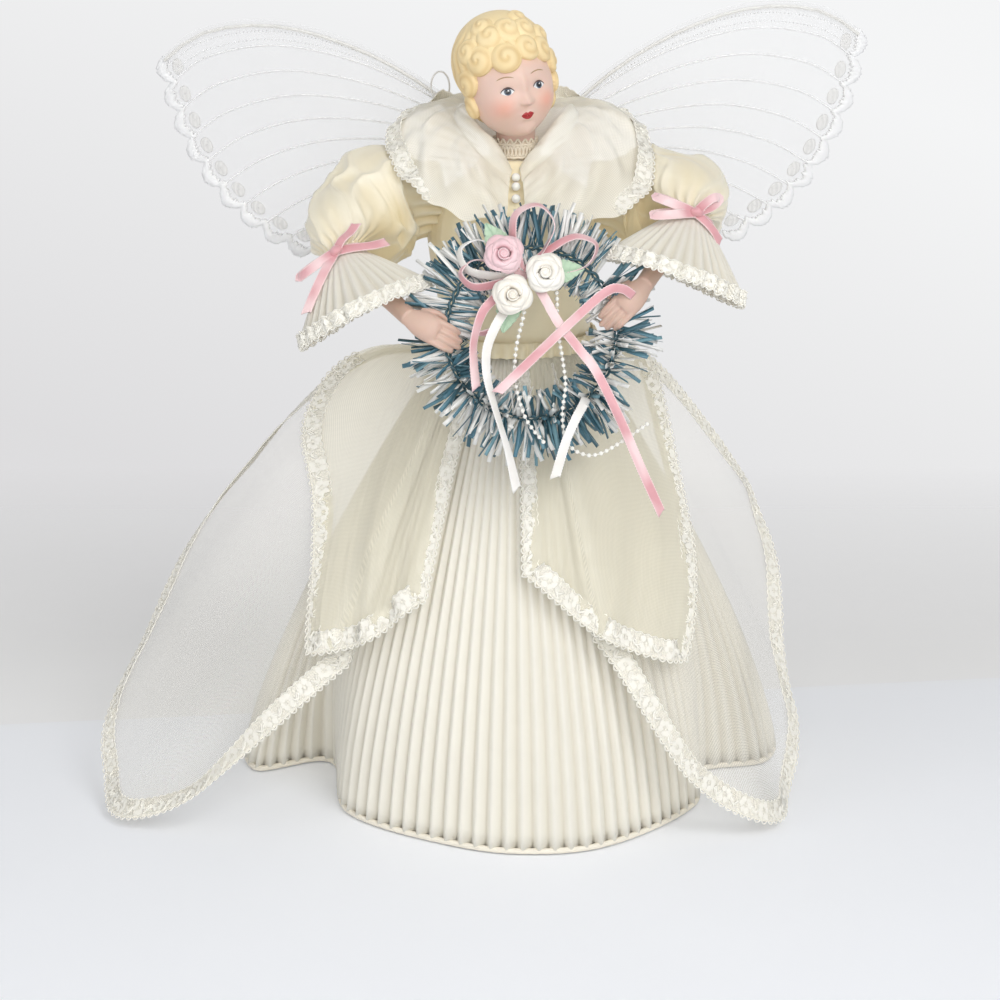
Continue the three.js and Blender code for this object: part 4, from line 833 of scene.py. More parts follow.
def long_radius(panel, degrees, z, crest=False):
    share = (degrees - panel["start"]) / (panel["side"][0] - panel["start"])
    off = stand_off(panel, LONG_NECK, np.clip(share, 0, 1), z, crest)
    return bell(z) + LAYER_STEP + np.where(share < 0, 0, off)


def panel_grid(panel, long, seed):
    """Points of a panel: rows from the waist to the hem, columns from the front edge to the side edge."""
    u = np.linspace(0, 1, PANEL_COLUMNS)[None]
    v = np.linspace(0, 1, PANEL_ROWS)[:, None]
    neck = LONG_NECK if panel is long else SHORT_NECK
    hem = along(panel["hem"], u)
    z = mix(PANEL_TOP, hem, v ** 1.5)
    down = panel_down(z, neck, hem)
    degrees = mix(panel["start"], mix(panel["side"][0], panel["side"][1], down), u)
    if panel is long:
        radius = long_radius(long, degrees, z)
    else:
        radius = long_radius(long, degrees, z - LAYER_STEP, crest=True) + LAYER_STEP
        radius = radius + stand_off(panel, SHORT_NECK, u, z)
    gathers = 0.5 * np.exp(-6 * down) * np.sin(TAU * PANEL_GATHERS * u)
    ripples = 0.45 * down * (wiggle(26 * u + 2.5 * v, seed) + 0.6 * wiggle(14 * v + 9 * u, seed + 1))
    return around(degrees, radius + (down > 0) * gathers + ripples, z), down


def overskirt_panel(kind, side, seed):
    long = LONG_PANELS[side]
    panel = long if kind == "long" else SHORT_PANELS[side]
    grid, down = panel_grid(panel, long, seed)
    normals = grid_normals(grid) * (1 if side == "left" else -1)
    front_edge = np.linspace(1, 0, PANEL_COLUMNS)[None] ** EDGE_SHARPNESS
    hem_edge = np.linspace(0, 1, PANEL_ROWS)[:, None] ** EDGE_SHARPNESS
    cloth = Piece(f"{kind}_{side}_organza", long_organza if kind == "long" else short_organza)
    cloth.grid(grid, tint=0.22 * np.exp(-7 * down) + 0.1 * np.maximum(front_edge, hem_edge))
    made = cloth.make("organza", [f"{kind}_{side}_panel"])

    def loop(field):
        """Down the front edge, along the hem and up the side edge."""
        return np.concatenate([field[LACE_START:, 0], field[-1, 1:], field[-2:LACE_START:-1, -1]])

    border = loop(grid)
    front = PANEL_ROWS - LACE_START
    width = np.full(len(border), LACE_WIDTH)
    width[:front] = np.linspace(FRONT_LACE_WIDTH, LACE_WIDTH * 0.8, front)
    rows = np.clip(np.arange(PANEL_ROWS), 0, PANEL_ROWS - 1 - LACE_INSET)[:, None]
    columns = np.clip(np.arange(PANEL_COLUMNS), LACE_INSET, PANEL_COLUMNS - 1 - LACE_INSET)
    edging = lace(f"{kind}_{side}_lace", border, loop(normals), loop(grid[rows, columns]), width, seed)
    declare_sheet(grid)


for (panel_kind, panel_side), panel_seed in PANEL_SEEDS.items():
    overskirt_panel(panel_kind, panel_side, panel_seed)


# Waist, bodice, buttons and collar

WAIST_FOOT, WAIST_TOP = 161.8, 167.2
WAIST_OUT = 30.2
BAND_FOLDS = 46
BAND_CLOTH, BODICE_CLOTH = 0.5, 0.4


def waist_gathers():
    """Gathered organza drawn in over the band at the waist."""
    turn = steps_round(360, 480)[None]
    v = np.linspace(0, 1, 14)[:, None]
    angle = np.radians(turn)
    folds = 0.7 * np.sin(angle * BAND_FOLDS + 2 * wiggle(angle * 3, 41)) * (1 - 0.5 * v)
    radius = WAIST_OUT - 1.2 * v + 0.5 * np.sin(np.pi * v) + folds
    grid = around(turn, radius, mix(WAIST_FOOT, WAIST_TOP, v))
    piece = Piece("waist_gathers", warm_shaded_satin)
    # A little gold everywhere, more in the hollows of the folds: painted shade.
    piece.shell(grid, BAND_CLOTH, np.clip(0.25 - 0.4 * folds, 0, 0.6))
    piece.make("satin", ["waist_band"])


BODICE_PROFILE = [(0, 27.4), (22, 27), (40, 28), (51, 24.5), (58, 16), (64, 11)]
BODICE_WIDTH_SCALE = 1.14
BODICE_ROWS, BODICE_COLUMNS = 60, 180
NECK_OPENING = 7.6
TUCK_TOP = 2.3
BUTTON_RADIUS = 1.6
BUTTON_SHARES = (0.8, 0.71, 0.62)
SHANK_LENGTH, SHANK_RADIUS = 0.3, 0.5


def bodice():
    share = np.linspace(0, 1, BODICE_ROWS)
    height, radius = along(BODICE_PROFILE, share).T
    turn = steps_round(360, BODICE_COLUMNS)
    gathers = 0.35 * wiggle(np.radians(turn) * 9, 31)[None] * np.sin(np.pi * share)[:, None]
    crease = 0.3 * wiggle(share * 14, 32)[:, None] * np.cos(np.radians(turn) * 5)[None]
    level = SKIRT_HEIGHT + np.maximum(height, 0.3)[:, None]
    grid = around(turn[None] + 180, radius[:, None] + gathers + crease, level)
    grid[..., 0] *= mix(1, BODICE_WIDTH_SCALE, ramp(TUCK_TOP, 32, height))[:, None]
    grid = np.concatenate([grid, around(turn[None] + 180, NECK_OPENING, SKIRT_HEIGHT + height[-1] + 0.2)])
    # A little gold everywhere, more in the hollows of the gathers and creases: painted shade.
    shade = np.clip(0.2 - 0.4 * (gathers + crease), 0, 1)
    piece = Piece("bodice_satin", warm_shaded_satin)
    piece.shell(grid, BODICE_CLOTH, np.concatenate([shade, shade[-1:]]))
    made = piece.make("satin", ["bodice"])
    declare_sheet(grid)


def pearl_buttons():
    for i, share in enumerate(BUTTON_SHARES):
        z, radius = along(BODICE_PROFILE, np.array(share))
        before, after = along(BODICE_PROFILE, np.array([share - 0.01, share + 0.01]))
        slope = unit(after - before)
        lift = BUTTON_RADIUS + SHANK_LENGTH
        spot = (0, -(radius + lift * slope[0]), SKIRT_HEIGHT + z - lift * slope[1])
        piece = Piece(f"pearl_bead_{i + 1}", pearl)
        piece.bead(spot, BUTTON_RADIUS, 20, 13, axis=1)
        shank = np.array([spot, (0, -radius - 0.1, spot[2])])
        piece.tube(even(shank, 3), SHANK_RADIUS, 8)
        piece.make("pearl", [f"pearl_button_{i + 1}"])


# Collar from the front to the back: degrees, then radius and height at the neck and at the edge
COLLAR = {
    "left": [(6, 17, 60, 31, 47.5), (28, 18, 64, 40, 48), (55, 19, 70, 45, 58), (85, 21, 76, 46, 70),
             (115, 23, 80, 43, 78), (140, 22, 80, 35, 80), (165, 19, 78, 27, 79)],
    "right": [(6, 17, 60, 32, 46), (28, 18, 64, 44, 46), (52, 19, 70, 55, 54), (80, 21, 76, 48, 71),
              (108, 23, 80, 41, 79), (137, 22, 80, 34, 80), (165, 19, 78, 27, 79)],
}
COLLAR_ARCH = 3.0
# The collar's inner roll: degrees from the front, radius and height above the waist where it meets the neck
COLLAR_INNER = [(4, 9.4, 60), (26, 9.4, 64), (55, 9.6, 67), (85, 9.8, 68), (115, 10, 68), (140, 10, 68),
                (165, 10, 68)]
ROLL_ARCH = (1.5, 5.5, 6.5, 6, 5, 4, 3.5)
ROLL_ROWS, COLLAR_ROWS, COLLAR_COLUMNS = 16, 44, 110
COLLAR_LACE_WIDTH = 6.5
# Column and row at which the collar's lace starts and ends, and steps to the cloth beside it
COLLAR_LACE_START, COLLAR_LACE_END, COLLAR_INSET = 30, ROLL_ROWS + 10, 5


def collar_half(name, side, seed):
    u = np.linspace(0, 1, COLLAR_COLUMNS)[None]
    v = np.linspace(0, 1, COLLAR_ROWS)[:, None]
    degrees, neck_radius, neck_height, edge_radius, edge_height = along(COLLAR[name], u[0]).T[:, None]
    arch = COLLAR_ARCH * np.sin(np.pi * v)
    crumple = 1.5 * wiggle(15 * u + 3 * v, seed) + 1.1 * wiggle(7 * v + 16 * u, seed + 1)
    puff = np.sin(np.pi * v) ** 0.7 * crumple
    frill = 0.9 * v ** 3 * np.sin(TAU * 9 * u + 2 * v)
    radius = mix(neck_radius, edge_radius, v) + 0.5 * puff
    height = SKIRT_HEIGHT + mix(neck_height, edge_height, v) + arch + puff + frill
    grid = around(side * degrees, radius, height)
    w = np.linspace(1, 0, ROLL_ROWS, endpoint=False)[:, None]
    inner_degrees, inner_radius, inner_height = along(COLLAR_INNER, u[0]).T[:, None]
    crush = np.sin(np.pi * w ** 0.8) * (along(ROLL_ARCH, u) + 0.9 * wiggle(12 * u + 4 * w, seed + 2))
    rolled = SKIRT_HEIGHT + mix(neck_height, inner_height, w ** 1.4) + crush
    roll = around(side * mix(degrees, inner_degrees, w), mix(neck_radius, inner_radius, w), rolled)
    grid = np.concatenate([roll, grid])
    normals = grid_normals(grid) * side
    normals *= np.sign(normals[ROLL_ROWS:, :, 2].mean())
    gather = np.concatenate([0.2 * w ** 2 + 0 * u, 0.12 * np.clip(puff, 0, 1) + 0.1 * v ** 8])
    cloth = Piece(f"{name}_collar_organza", collar_organza)
    cloth.grid(grid, tint=gather)
    made = cloth.make("organza", [f"{name}_collar"])

    def loop(field, edge=-1):
        """Along the outer edge and up the back edge."""
        return np.concatenate([field[edge, COLLAR_LACE_START:], field[-2:COLLAR_LACE_END:-1, edge]])

    inside = loop(grid, -1 - COLLAR_INSET)
    trim = lace(f"{name}_collar_lace", loop(grid), loop(normals), inside, COLLAR_LACE_WIDTH, seed)
    declare_sheet(grid)


NECK_BAND = dict(radius=8.0, foot=229.4, top=236.2)
NECK_LOOPS = 18
# Threads of the neck lace: height as a share of the band, height of its waves and radius
NECK_THREADS = [(0.08, 0.02, 0.5), (0.4, 0.28, 0.36), (0.4, -0.28, 0.36), (0.74, 0.02, 0.42),
                (0.92, 0.12, 0.34)]


def neck_band():
    """Narrow lace round the neck: two braids with loops between them."""
    piece = Piece("neck_lace", neck_lace_thread)
    turn = steps_round(TAU, 240)

    def ring(inset, share):
        level = mix(NECK_BAND["foot"], NECK_BAND["top"], share)
        return around(np.degrees(turn), NECK_BAND["radius"] - inset, level)

    for rise, wave, radius in NECK_THREADS:
        piece.tube(ring(0.2, rise + wave * np.sin(NECK_LOOPS * turn)), radius, 5, closed=True)
    # A band behind the threads in the darker colour: painted shade in the gaps of the lace.
    piece.shell(ring(0.55, np.linspace(-0.2, 0.95, 7)[:, None]), 0.25, 0.9)
    piece.make("lace", ["neck_lace_band"])


waist_gathers()
bodice()
pearl_buttons()
collar_half("left", -1, 51)
collar_half("right", 1, 61)
neck_band()


# Arms: sleeves, cuffs, wrist bows and hands

# Wrist, tie and sleeve are places in the doll's frame, cuff is a direction there, fingers one on the wreath
ARMS = {
    "left": dict(side=-1, wrist=np.array([-36.3, -63.6, 183.7]), tie=np.array([-60.0, -34.6, 198.7]),
                 cuff=np.array([0.393, -0.481, -0.784]), fingers=np.array([0.883, -0.470, 0]),
                 sleeve=[(-32.9, 0, 214), (-47, -3, 213), (-56, -14, 207)]),
    "right": dict(side=1, wrist=np.array([43.1, -60.8, 194.3]), tie=np.array([60.1, -32.8, 211.3]),
                  cuff=np.array([-0.299, -0.492, -0.818]), fingers=np.array([-0.695, -0.719, 0]),
                  sleeve=[(32.9, 0, 214), (47, -3, 213.5), (58, -14, 214)]),
}
SLEEVE_RADII = (13, 19.5, 18.5, 15, 6.4)
SLEEVE_ROWS, SLEEVE_COLUMNS = 80, 168
SLEEVE_GATHERS, SLEEVE_GATHER_DEPTH = 19, 0.9
SLEEVE_RIDGES, RIDGE_HEIGHT, RIDGE_WIDTH = 9, 2.1, 0.13
SEAM_TUCK = 6.0
GATHER_RADIUS = 6.4
GATHER_LENGTH = 3.0
CUFF_ROWS = 26
CUFF_START = 0.2
CUFF_LENGTH = 22.0
CUFF_SLANT = 8.5
CUFF_HEM_RADIUS = 25.0
CUFF_CURVE = 0.9
CUFF_PLEATS = 38
CUFF_PLEAT_DEPTH = 2.3
CUFF_LACE_WIDTH = 5.0
SLEEVE_CLOTH = 0.35


def cross_axes(axis):
    first = unit(np.cross([0, 0, 1.0], axis))
    return first, unit(np.cross(axis, first))


def sleeve(name, seed):
    arm = ARMS[name]
    tie, cuff_axis = arm["tie"], arm["cuff"]
    line = route(arm["sleeve"] + [tuple(tie - cuff_axis * GATHER_LENGTH)], SLEEVE_ROWS)
    seam = line[:1] - np.array([arm["side"] * SEAM_TUCK, 0, 0])
    way = tangents(line)
    share = np.linspace(0, 1, len(line))
    axis = unit(mix(way, cuff_axis, ramp(0.6, 1, share)[:, None]))
    first, second = cross_axes(axis)
    turn = steps_round(TAU, SLEEVE_COLUMNS)[None]
    s = share[:, None]
    gather = np.exp(-9 * s) + np.exp(-9 * (1 - s))
    swell = np.sin(np.pi * s)
    pleats = SLEEVE_GATHER_DEPTH * gather * np.sin(SLEEVE_GATHERS * turn + 1.5 * np.sin(2 * turn))
    creases = swell * (0.6 * wiggle(9 * s + 2.2 * turn, seed + 1, 6) - 0.5)
    for k in range(SLEEVE_RIDGES):
        gap = turn - TAU * (k + 0.5) / SLEEVE_RIDGES - 0.5 * wiggle(4 * s + 2.7 * k, seed + 2)
        gap = np.abs((gap + math.pi) % TAU - math.pi)
        creases = creases + swell ** 0.6 * RIDGE_HEIGHT * np.exp(-gap / RIDGE_WIDTH)
    radius = along(SLEEVE_RADII, share)[:, None] + pleats + creases
    outward = first[:, None] * np.cos(turn)[..., None] + second[:, None] * np.sin(turn)[..., None]
    grid = line[:, None] + outward * radius[..., None]
    neck = grid[-1:] + cuff_axis * GATHER_LENGTH
    grid = np.concatenate([grid[:1] + seam - line[:1], grid, neck])
    # Gold, more in the hollows of the creases and on the side facing down to the body: painted shade.
    inner_side_shade = 0.7 * ramp(0.05, 0.8, outward @ unit(np.array([-0.8 * arm["side"], -0.1, -0.6])))
    shade = np.clip(0.2 - 0.3 * (pleats + creases) + inner_side_shade, 0, 0.9)
    piece = Piece(f"{name}_sleeve_satin", satin_cloth)
    piece.shell(grid, SLEEVE_CLOTH, np.concatenate([shade[:1], shade, shade[-1:]]))
    made = piece.make("satin", [f"{name}_sleeve"])
    declare_sheet(grid)


def cuff_radius(distance):
    return mix(GATHER_RADIUS, CUFF_HEM_RADIUS, (np.maximum(distance, 0) / CUFF_LENGTH) ** CUFF_CURVE)


def cuff(name, seed):
    arm = ARMS[name]
    tie, axis = arm["tie"], arm["cuff"]
    first, second = cross_axes(axis)
    count = CUFF_PLEATS * PLEAT_SAMPLES
    turn = np.arange(count)[None] * TAU / count
    v = np.linspace(0, 1, CUFF_ROWS)[:, None]
    front = math.atan2(-second[1], -first[1])
    distance = CUFF_START + v * (CUFF_LENGTH + CUFF_SLANT * np.cos(turn - front) - CUFF_START)
    valley = np.abs(2 * ((np.arange(count) / PLEAT_SAMPLES) % 1) - 1)[None] ** PLEAT_CURVE
    waver = 0.8 * v * wiggle(4 * turn, seed)
    radius = cuff_radius(distance) - CUFF_PLEAT_DEPTH * v * valley + waver
    grid = (tie + axis * distance[..., None] + first * (radius * np.cos(turn))[..., None]
            + second * (radius * np.sin(turn))[..., None])
    piece = Piece(f"{name}_cuff_cloth", pleat_cloth)
    # Darker in the pleat valleys, more so towards the hem: painted shade.
    piece.shell(grid, SLEEVE_CLOTH, 0.7 * valley * np.sqrt(v))
    made = piece.make("satin", [f"{name}_cuff"])
    edge = grid[-1][np.r_[0:count:3, 0]]
    facing = unit(edge - (tie + axis * CUFF_LENGTH) + axis * -6)
    trim = lace(f"{name}_cuff_lace", edge + axis * 1.6, facing, edge - axis * 4, CUFF_LACE_WIDTH, seed)
    declare_sheet(grid)


# Wrist bows: loop tips as sideways and down the cuff, end tips as sideways, off the cuff and down it
WRIST_BOWS = {
    "left": dict(loops=[(15, 3.5)], ends=[(-10, 4.5, -6), (-17, 2.0, 4), (17, 1.5, 18)]),
    "right": dict(loops=[(15, 0.5), (14, 7), (-6, -7)], ends=[(-11.5, 1.5, 6)]),
}
# Flattened loop: share of the way to its tip, sideways and outwards
FLAT_LOOP = [(0, 0, 0), (0.35, 0.7, 3), (0.75, 0.9, 4), (1, 0.2, 2.6), (0.97, -0.4, 1.6), (0.7, -0.9, 0.8),
             (0.35, -0.6, 0.4), (0, 0, 0)]
TIE_RADIUS = 8.4
TIE_RIBBON = 2.6
WRIST_KNOT = 2.2


def wrist_bow(name):
    arm = ARMS[name]
    tie, axis = arm["tie"], arm["cuff"]
    front = unit(np.array([0, -1.0, 0]) + axis * axis[1])
    aside = np.cross(axis, front)
    seat = TIE_RADIUS + 1

    def at(sideways, out, down):
        return tie + aside * sideways + front * out + axis * down

    def over(sideways, lift, down):
        """Place that far off the cuff."""
        rise = math.sqrt(max(float(cuff_radius(down)) ** 2 - sideways * sideways, 0))
        return at(sideways, max(rise, 3) + lift, down)

    piece = Piece(f"{name}_wrist_ribbon", pink_satin)
    turn = np.linspace(0, TAU, 61)
    ring = np.array([at(TIE_RADIUS * math.sin(t), TIE_RADIUS * math.cos(t), 0) for t in turn])
    ribbon(piece, ring, axis, width=TIE_RIBBON, twist=(90, 90))
    for tip in np.array(WRIST_BOWS[name]["loops"], float):
        swing = np.array([-tip[1], tip[0]]) / np.linalg.norm(tip)
        spots = [at(*np.insert(tip * share + swing * offset, 1, seat + rise))
                 for share, offset, rise in FLAT_LOOP]
        ribbon(piece, spots, front, twist=(0, 12, 0, 12, 0))
    for sideways, lift, down in WRIST_BOWS[name]["ends"]:
        spots = [over(sideways * share, lift + 1, down * share) for share in (0.35, 0.7, 1)]
        ribbon(piece, [at(0, seat, 0)] + spots, front, slant=1.2, twist=(0, 15, 0))
    knot = [at(-1.6, seat, -0.2), at(0, seat + 1.1, 0), at(1.6, seat, 0.2)]
    ribbon_knot(piece, knot, WRIST_KNOT, 0.75)
    piece.make("pink_ribbon", [f"{name}_wrist_bow"])


HAND_LENGTH = 20.0
FINGERS = 4
FINGER_RADIUS = 1.2
FINGER_PITCH = 2.42
PALM_RADII = np.array([2.7, 3.1, 3.5, 3.9, 4.3, 4.6, 4.8, 4.9, 4.9, 4.7, 4.3, 3.4])
PALM_FLAT = 0.56
FOREARM_RADIUS, WRIST_RADIUS = 3.9, 3.2
STUMP_RADIUS = 5.2
SKIN_VOXEL = 0.32
SKIN_ROUNDS = 4


def fused(made):
    """Joins overlapping forms into one smooth skin."""
    skin = made.modifiers.new("skin", "REMESH")
    skin.mode = "VOXEL"
    skin.voxel_size = SKIN_VOXEL * MM
    soft = made.modifiers.new("soft", "SMOOTH")
    soft.factor = 0.5
    soft.iterations = SKIN_ROUNDS
    bpy.context.view_layer.update()
    mesh = bpy.data.meshes.new_from_object(made.evaluated_get(bpy.context.evaluated_depsgraph_get()))
    made.modifiers.clear()
    made.data = mesh
    if not mesh.materials:
        mesh.materials.append(shaded_hand_bisque.material)
    mesh.shade_smooth()


def forearm(name):
    arm = ARMS[name]
    wrist = to_wreath(arm["wrist"])
    fingers = arm["fingers"]
    across = np.array([-fingers[1], fingers[0], 0])

    def spot(x, y, z):
        """Place on the hand: x towards the finger tips, y across them and z off the palm."""
        return on_wreath(wrist + fingers * x + across * y + np.array([0, 0, z]))

    piece = Piece(f"{name}_hand", shaded_hand_bisque)
    stump = arm["tie"] - arm["cuff"] * GATHER_LENGTH / 2
    piece.tube(even([stump, arm["wrist"]], 12), np.linspace(FOREARM_RADIUS, WRIST_RADIUS, 12), 20)
    piece.bead(stump, STUMP_RADIUS, 20, 12)
    palm_line = np.array([spot(x, 0, 0.5) for x in np.linspace(-1.5, 11, len(PALM_RADII))])
    side = unit(np.broadcast_to(across @ WREATH_AXES, palm_line.shape))
    palm_frames = side, np.cross(tangents(palm_line), side)
    piece.tube(palm_line, PALM_RADII, 20, flat=PALM_FLAT, frames=palm_frames)
    for i in range(FINGERS):
        offset = (i - (FINGERS - 1) / 2) * FINGER_PITCH
        reach = HAND_LENGTH - abs(offset + 0.4) * 0.75
        line = route([spot(7, offset, 0.5), spot(11, offset, 0.7), spot(15, offset, 0.2),
                      spot(reach, offset * 0.92, -1.6)], 14)
        piece.tube(line, FINGER_RADIUS * np.linspace(1.08, 0.82, 14), 12)
        piece.bead(line[-1], FINGER_RADIUS * 0.84, 12, 8)
    thumb = 1 if name == "left" else -1
    line = route([spot(2.5, thumb * 3.6, -0.8), spot(7, thumb * 5.6, -1.6), spot(11, thumb * 5.4, -2.6)], 10)
    piece.tube(line, np.linspace(1.5, 1.0, 10), 12)
    piece.bead(line[-1], 1.02, 12, 8)
    made = piece.make("bisque", [f"{name}_forearm"])
    fused(made)


for arm_seed, arm_name in enumerate(ARMS):
    sleeve(arm_name, 71 + 10 * arm_seed)
    cuff(arm_name, 75 + 10 * arm_seed)
    wrist_bow(arm_name)
    forearm(arm_name)


# Head: moulded bisque with painted hair and face. Head-local x is to the viewer's right, -y front and z up.

HEAD_CENTRE = np.array([-4, -5, 260.3])
HEAD_AXES = np.array(Matrix.Rotation(math.radians(-11), 3, "Y") @ Matrix.Rotation(math.radians(20), 3, "Z"))
SKULL = (np.array([0, 2, 3.5]), np.array([16.0, 16.0, 16.0]))
FACE = (np.array([0, -3.5, -5.0]), np.array([14.9, 14.3, 17.9]))
HEAD_BLEND = 0.8
# Directions round the head and from its top to its foot
HEAD_GRID, HAIR_GRID = (260, 190), (380, 230)

# Relief of the face: x, z, half-width, half-height and lift. A pair repeats on both sides.
FACE_RELIEF = [(0, -4, 1.4, 4.0, 0.9), (0, -9.2, 1.5, 1.4, 2.7), (0, -12.7, 0.6, 1.0, -0.3),
               (0, -15.9, 1.5, 0.75, 0.95), (0, -15.0, 2.1, 0.3, -0.2), (0, -20.2, 3.4, 2.4, 1.5),
               (0, -17.7, 2.6, 0.8, -0.5), (0, 1, 9, 3, 0.5)]
PAIRED_RELIEF = [(5.8, -5.6, 3.4, 2.1, -1.1), (1.5, -10.0, 1.0, 0.9, 0.9), (0.95, -14.3, 1.3, 0.6, 0.75),
                 (8, -11.5, 4.4, 4.2, 1.4)]
FACE_RELIEF += [(side * x, z, *rest) for x, z, *rest in PAIRED_RELIEF for side in (-1, 1)]
BLUSH = (8.2, -11.2, 3.9, 3.4, 0.55)


def on_head(points):
    return HEAD_CENTRE + np.asarray(points) @ HEAD_AXES.T


def ellipsoid_reach(way, centre, half):
    """Distance from the head's middle to an ellipsoid, along directions."""
    a = ((way / half) ** 2).sum(-1)
    b = (way * centre / half ** 2).sum(-1)
    c = ((centre / half) ** 2).sum() - 1
    return (b + np.sqrt(b * b - a * c)) / a


def soft_spot(points, x, z, wide, high):
    return np.exp(-((points[..., 0] - x) / wide) ** 2 - ((points[..., 2] - z) / high) ** 2)


def head_reach(way):
    """Distance from the head's middle to the skin, along directions."""
    base = np.logaddexp(ellipsoid_reach(way, *SKULL) / HEAD_BLEND, ellipsoid_reach(way, *FACE) / HEAD_BLEND)
    base = base * HEAD_BLEND
    spot = way * base[..., None]
    relief = sum(lift * soft_spot(spot, x, z, wide, high) for x, z, wide, high, lift in FACE_RELIEF)
    return base + relief * ramp(-4, -9, spot[..., 1])


def head_directions(columns, rows):
    """Directions round the head, closer together towards the face."""
    turn = np.linspace(-math.pi, math.pi, columns, endpoint=False)
    turn = (turn - 0.45 * np.sin(turn))[None]
    polar = np.linspace(0.02, math.pi - 0.02, rows)[:, None]
    return stacked(np.sin(polar) * np.sin(turn), -np.sin(polar) * np.cos(turn), np.cos(polar))


# Shoulder plate and neck: radius and height
NECK_PROFILE = [(16, 200.3), (16, 203.3), (12.5, 209), (9, 214.3), (7.4, 219), (7, 226), (7, 236), (7, 247)]


def bisque_head():
    way = head_directions(*HEAD_GRID)
    skin = way * head_reach(way)[..., None]
    x, z, wide, high, strength = BLUSH
    blush = strength * (soft_spot(skin, x, z, wide, high) + soft_spot(skin, -x, z, wide, high))
    blush = blush * (skin[..., 1] < 0)
    piece = Piece("doll_head", bisque)
    piece.rings(on_head(skin), tint=blush)
    radius, height = along(NECK_PROFILE, np.linspace(0, 1, 50)).T
    piece.rings(around(steps_round(360, 48)[None], radius[:, None], height[:, None]))
    piece.make("bisque", ["bisque_head"])


# Hairline: degrees from the middle of the face, and height
HAIRLINE = np.array([(0, 4), (30, 4.5), (55, 1), (75, -5), (90, -12), (120, -15), (180, -16)], float)
HAIR_DEPTH = 1.7
HAIR_TUCK = -1.2
COMBED_LOCKS = 24
CURL_DEPTH = 3.1
CURL_GROOVE = 0.45
CURL_TURNS = 1.4
# Curls: degrees from the middle of the face, height, radius and winding
CURLS = [(-84, -9, 4.4, 1), (-74, -1, 4.8, 1), (-50, 6, 5.2, 1), (-14, 5.6, 5.4, 1), (19, 7.4, 4.8, -1),
         (45, 5.6, 4.8, -1), (67, 1, 4.6, -1), (80, -6, 4.4, -1), (88, -12, 4.0, -1), (-68, 9, 4.8, 1),
         (-33, 13, 5.0, 1), (2, 14.2, 5.2, -1), (34, 13, 4.8, -1), (61, 9.6, 4.6, -1), (-52, 16, 4.4, 1),
         (50, 16.5, 4.2, -1)]
CURLS += [(side * degrees, height, 3.8, side) for degrees, height in ((104, -10), (128, -12.5), (153, -13.5))
          for side in (-1, 1)] + [(180, -14, 3.8, 1)]


def curl_lift(skin, degrees, height, radius, hand):
    """Lift and groove of a wound curl on the head. Out of its reach the lift is far below the skin."""
    turn = math.radians(degrees)
    level = np.array([math.sin(turn), -math.cos(turn), 0])
    rise = np.array([0, 0, height])
    way = unit(level * 15 + rise)
    for _ in range(4):
        out = math.sqrt(max(float(head_reach(way)) ** 2 - height ** 2, 4))
        way = unit(level * out + rise)
    middle = way * head_reach(way)
    first = unit(np.cross([0, 0, 1.0], way))
    second = np.cross(way, first)
    offset = skin - middle
    a, b, depth = offset @ first, offset @ second, offset @ way
    share = np.sqrt(a * a + b * b + 0.3 * depth * depth) / radius
    inside = np.sqrt(np.clip(1 - share ** 2, 0, 1))
    groove = (0.5 + 0.5 * np.cos(hand * np.arctan2(b, a) + TAU * CURL_TURNS * share)) ** 2 * (inside > 0)
    lift = np.where(inside > 0, 0.2 + CURL_DEPTH * inside - CURL_GROOVE * groove * inside, -9.0)
    return lift, groove * np.clip(inside * 2, 0, 1)


def painted_hair():
    way = head_directions(*HAIR_GRID)
    reach = head_reach(way)
    skin = way * reach[..., None]
    degrees = np.degrees(np.arctan2(way[..., 0], -way[..., 1]))
    over = skin[..., 2] - np.interp(np.abs(degrees), *HAIRLINE.T)
    cover = ramp(-0.5, 2.4, over)
    turn, height = np.radians(degrees), skin[..., 2]
    combed = 0.5 + 0.5 * np.sin(turn * COMBED_LOCKS + 1.6 * np.sin(height * 0.55 + turn * 2))
    combed = combed ** 2 * ramp(17.5, 11, height)
    lift = mix(HAIR_TUCK, HAIR_DEPTH - 0.4 * combed, cover)
    # Tan in the grooves of the combed locks and curls, and more low on the head: painted shade.
    tint = 0.4 * combed * cover
    for curl in CURLS:
        bump, groove = curl_lift(skin, *curl)
        tint = np.where(bump > lift, 0.36 * groove, tint)
        lift = np.maximum(lift, bump)
    tint = tint + 0.24 * ramp(13, 1, height)
    hair = way * (reach + lift)[..., None]
    piece = Piece("painted_curls", hair_paint)
    piece.rings(on_head(hair), tint=tint)
    piece.make("bisque", ["bisque_head"])


# Depths between which the skin of the face lies
FACE_NEAR, FACE_DEEP = -26.0, -4.0


def on_face(x, z, lift):
    """Points of the face at x and z, lifted off the skin."""
    near, deep = np.full(np.shape(x), FACE_NEAR), np.full(np.shape(x), FACE_DEEP)
    for _ in range(24):
        middle = (near + deep) / 2
        spot = np.stack([x, middle, z], -1)
        outside = np.linalg.norm(spot, axis=-1) > head_reach(unit(spot))
        near, deep = np.where(outside, middle, near), np.where(outside, deep, middle)
    return np.stack([x, deep - lift, z], -1)


PAINT = 0.1
EYE_X, EYE_Z, EYE_HALF = 5.9, -5.8, 2.15
BROW_Z, BROW_HALF = -1.3, 3.0
LIP_Z, LIP_HALF = -14.9, 2.3
ACROSS = np.linspace(-0.985, 0.985, 31)[None]
BULGE = 1 - ACROSS ** 2
EYE_TOP, EYE_FOOT = EYE_Z + 1.4 * BULGE ** 0.8, EYE_Z - 1.05 * BULGE ** 0.9


